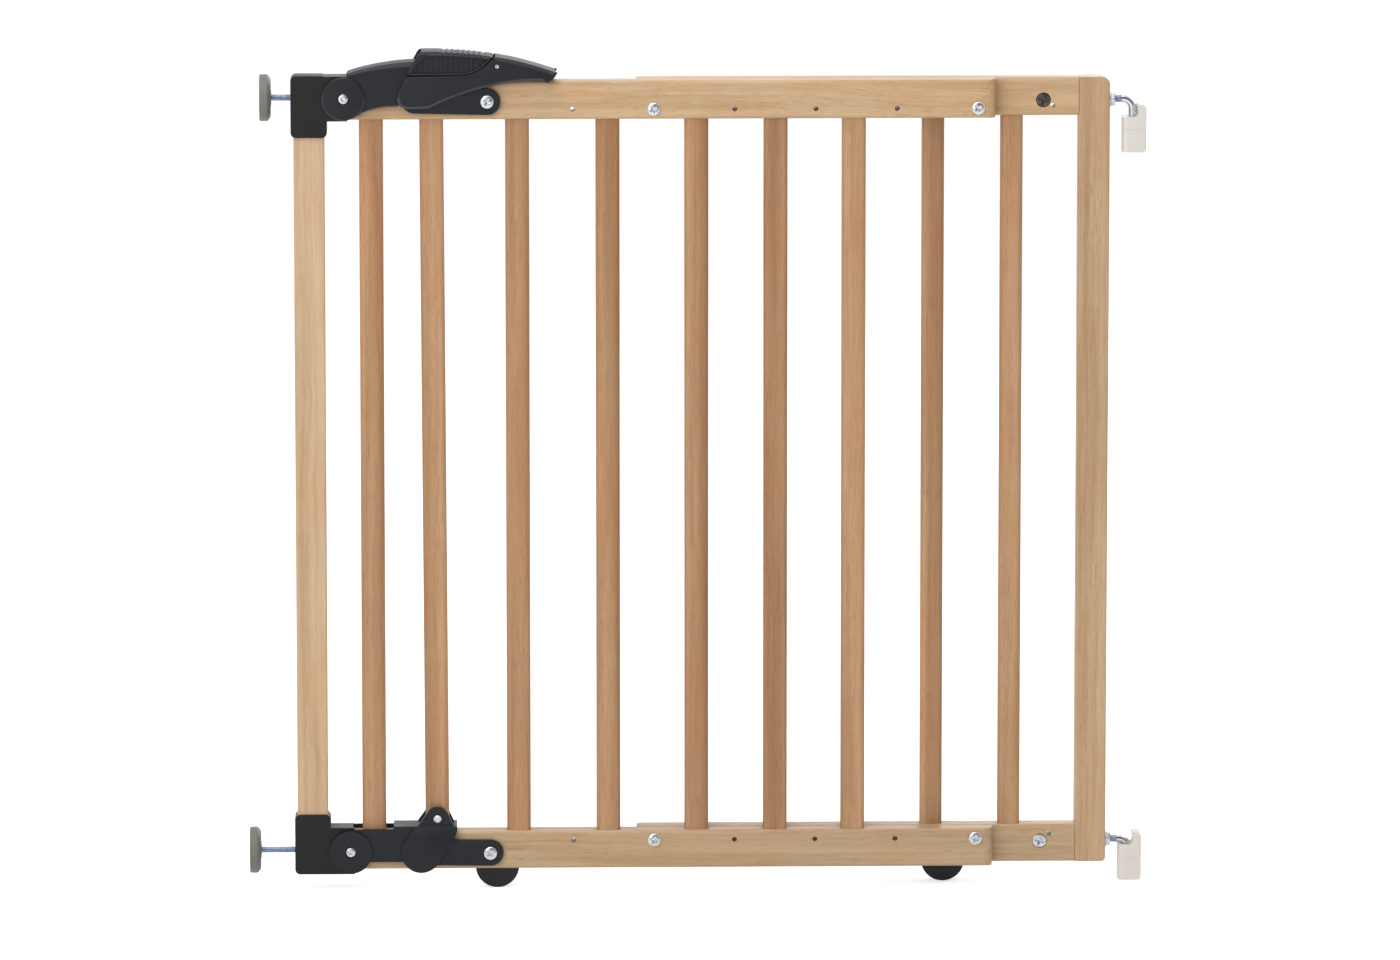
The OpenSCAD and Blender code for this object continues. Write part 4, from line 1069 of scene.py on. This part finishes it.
def window_rib_meshes():
    """Upright ribs in the grip's window, from its lower to its upper edge."""
    low = np.vstack([smooth_line(WINDOW_LOW), smooth_line(WINDOW_RIGHT)])
    high = np.vstack([smooth_line(WINDOW_LEFT)[::-1], smooth_line(WINDOW_TOP)[::-1]])
    meshes = []
    for u in np.arange(FIRST_RIB, RIB_LIMIT, RIB_PITCH):
        bottom = np.interp(u, low[:, 0], low[:, 1]) + 0.5
        top = np.interp(u, high[:, 0], high[:, 1]) - 0.5
        left, right = u - HALF_RIB, u + HALF_RIB
        outline = at_lever([[left, bottom], [right, bottom], [right, top], [left, top]])
        meshes += side_plates(outline, SHELL_OUT - 1.4 * MM, SHELL_OUT - 2.6 * MM, 0.35 * MM)
    return meshes


def make_grip():
    """The squeeze grip: two framed sides with ribbed windows under a roof with cross ridges, thinner
    towards the beak, and between them the neck, the hinge barrel and the nose that locks."""
    top = smooth_line(GRIP_TOP + GRIP_ROOF_END, 24)
    u = top[:, 0]
    thickness = np.minimum(ROOF, (0.5 + 0.93 * (u.max() - u)) * MM)
    roof_width = SHELL_OUT - BROW + ROOF_OVERLAP
    barrel = circle_line(GRIP_PIVOT[[0, 2]], 4.6 * MM, count=48)
    meshes = both_sides(framed_panel_mesh()) + window_rib_meshes() + [
        box_section_mesh(at_lever(top), roof_width, thickness, ridge_drop(u)),
        plate_mesh(barrel, FRONT_Y - 6 * MM, FRONT_Y + 6 * MM, 0.4 * MM),
        box_section_mesh(at_lever(GRIP_NECK), 6 * MM, 5 * MM),
        plate_mesh(at_lever(GRIP_NOSE), FRONT_Y - 4 * MM, FRONT_Y + 4 * MM, 0.3 * MM)]
    set_finish(merged("release_grip_body", meshes), "release_grip")


def make_grip_pin():
    """The grip's hinge pin: a cross-slotted head sunk in the near cheek, a plain end in the far one."""
    low, high = box_of("grip_pin")
    centre = GRIP_PIVOT * (1, 0, 1)
    meshes = [pan_head_mesh(centre, low[1] + 0.8 * MM, 5.2 * MM, 1.4 * MM, 0.2, 0.2),
              shank_mesh(centre, low[1] + 1.6 * MM, high[1], SCREW_RADIUS)]
    set_finish(merged("grip_pin_screw", meshes), "grip_pin")


SOFTENED = {"upper_corner": 1.2, "lower_corner": 1.2, "upper_wall_bracket": 0.8,
            "lower_wall_bracket": 0.8, "upper_bracket_cover": 0.6, "lower_bracket_cover": 0.6,
            "lower_arm": 1.0, "upper_links": 1.0, "lower_links": 1.0, "front_glide": 0.8,
            "rear_glide": 0.8}      # width of each node's bevels, in millimetres


def soften_rest():
    """Rounds the sharp edges of the other moulded nodes."""
    for name, width in SOFTENED.items():
        set_finish(softened(name, width * MM), name)


def make_knee_lip():
    """Closes the notch between the lower arm's plates and its knee covers."""
    meshes = side_plates(at_lever(KNEE_LIP, LOWER_PIVOT), CHEEK_OUT - 0.1 * MM, LINK_OUT, 0.2 * MM)
    stands_for(merged("lower_knee_lip", meshes), BODY_OF["lower_arm"], black_plastic, "lever_plastic")


make_lever()
make_grip()
make_knee_lip()
make_grip_pin()
soften_rest()


# ---------------------------------------------------------------- stage, light and camera

FLOOR_RADII = (1.5, 6.0, 24.0, 60.0)
FLOOR_SIDES = 96
FLOOR_GAP = 0.4 * MM         # between the floor and the gate's lowest point
FLOOR_GLOW = 0.62            # the floor's own light, seen by the camera
REFLECTED_GLOW = 0.35        # the share of it seen in mirrors and through glass
DIM_SIDE = 0.12              # the dim side of the room, seen in mirrors
WORLD_LIGHT = 0.42           # the room as a light
CAMERA_DISTANCE = 9.0
CAMERA_AZIMUTH = math.radians(-1.6)
CAMERA_ELEVATION = math.radians(8.5)
FRAME_WIDTH = 1.3485         # what the camera sees at the gate, side to side
AIM_RIGHT, AIM_DOWN = 0.0033, 0.0108
SENSOR_WIDTH = 36.0
LAMPS = (("top light", 2.4, 38.0, (-0.6, -1.0, 2.6)),       # name, size, power, place
         ("front light", 2.6, 38.0, (-1.8, -3.2, 1.2)),     # from the gate's middle
         ("back light", 2.6, 34.0, (1.6, 3.0, 1.6)))

lowest, highest = cad_box
gate_middle = (lowest + highest) / 2


def facing_turn(place, target):
    """The rotation that turns a lamp or camera at the place to the target."""
    return (target - place).to_track_quat("-Z", "Y").to_euler()


def make_floor():
    """A wide round floor: rings of points at growing radii about the gate, one flat fan."""
    turn = full_turn(FLOOR_SIDES)
    radii = np.array(FLOOR_RADII)[:, None]
    rings = np.stack([gate_middle[0] + radii * np.cos(turn), gate_middle[1] + radii * np.sin(turn),
                      np.full((len(radii), FLOOR_SIDES), lowest[2] - FLOOR_GAP)], axis=-1)
    faces = grid_faces(len(radii), FLOOR_SIDES) + [list(range(FLOOR_SIDES))]
    floor = make_piece("studio floor", rings, faces)
    material, net, shader = new_material("studio floor", Roughness=0.95, Specular_IOR_Level=0.0,
                                         Emission_Color=(1, 1, 1, 1))
    speck = net.noise(object_place(net), 40.0, 4.0)
    colour = net.mix(net.step(speck, 0.3, 0.7), linear(252, 252, 252), linear(250, 250, 250))
    net.feed(shader.inputs["Base Color"], colour)
    path = net.add("LightPath").outputs
    reflected = net.math("MAXIMUM", path["Is Glossy Ray"], path["Is Transmission Ray"])
    seen = net.math("MAXIMUM", path["Is Camera Ray"], net.math("MULTIPLY", reflected, REFLECTED_GLOW))
    net.feed(shader.inputs["Emission Strength"], net.math("MULTIPLY", seen, FLOOR_GLOW))
    floor.data.materials.append(material)


def add_lamp(name, size, power, place):
    """A square area lamp that faces the gate's middle."""
    lamp = bpy.data.lights.new(name, "AREA")
    lamp.size = size
    lamp.energy = power
    holder = new_object(name, lamp)
    holder.location = gate_middle + Vector(place)
    holder.rotation_euler = facing_turn(holder.location, gate_middle)


def make_world():
    """White to the camera and through glass; a softer white as a light. Mirrors see white too, but
    for the dim side of the room that the gate's front faces, as in a studio."""
    world = bpy.data.worlds.new("studio")
    world.use_nodes = True
    net = Net(world.node_tree)
    path = net.add("LightPath").outputs
    direction = net.add("TexCoord").outputs["Generated"]
    to_front = net.add("VectorMath", {0: direction, 1: (0.0, -1.0, 0.0)}, operation="DOT_PRODUCT")
    mirrored_white = net.step(to_front.outputs["Value"], 0.25, 0.85, 1.0, DIM_SIDE)
    shown = net.math("MAXIMUM", path["Is Camera Ray"], path["Is Transmission Ray"])
    strength = net.math("ADD", net.step(shown, 0.0, 1.0, WORLD_LIGHT, 1.0),
                        net.math("MULTIPLY", path["Is Glossy Ray"],
                                 net.math("SUBTRACT", mirrored_white, WORLD_LIGHT)))
    background = world.node_tree.nodes["Background"]
    background.inputs["Color"].default_value = (1, 1, 1, 1)
    net.feed(background.inputs["Strength"], strength)
    bpy.context.scene.world = world


def make_camera():
    """A long lens in front of the gate, a little to the left and above, aimed just under its middle."""
    target = gate_middle.copy()
    target.x += AIM_RIGHT
    target.z -= AIM_DOWN
    back = (math.sin(CAMERA_AZIMUTH) * math.cos(CAMERA_ELEVATION),
            -math.cos(CAMERA_AZIMUTH) * math.cos(CAMERA_ELEVATION),
            math.sin(CAMERA_ELEVATION))
    data = bpy.data.cameras.new("camera")
    data.sensor_width = SENSOR_WIDTH
    data.lens = SENSOR_WIDTH * CAMERA_DISTANCE / FRAME_WIDTH
    data.clip_end = 200.0
    camera = new_object("camera", data)
    camera.location = [t + CAMERA_DISTANCE * b for t, b in zip(target, back)]
    camera.rotation_euler = facing_turn(camera.location, target)
    bpy.context.scene.camera = camera


make_camera()
make_floor()
make_world()
for lamp_settings in LAMPS:
    add_lamp(*lamp_settings)
bpy.context.scene.view_settings.view_transform = "Standard"
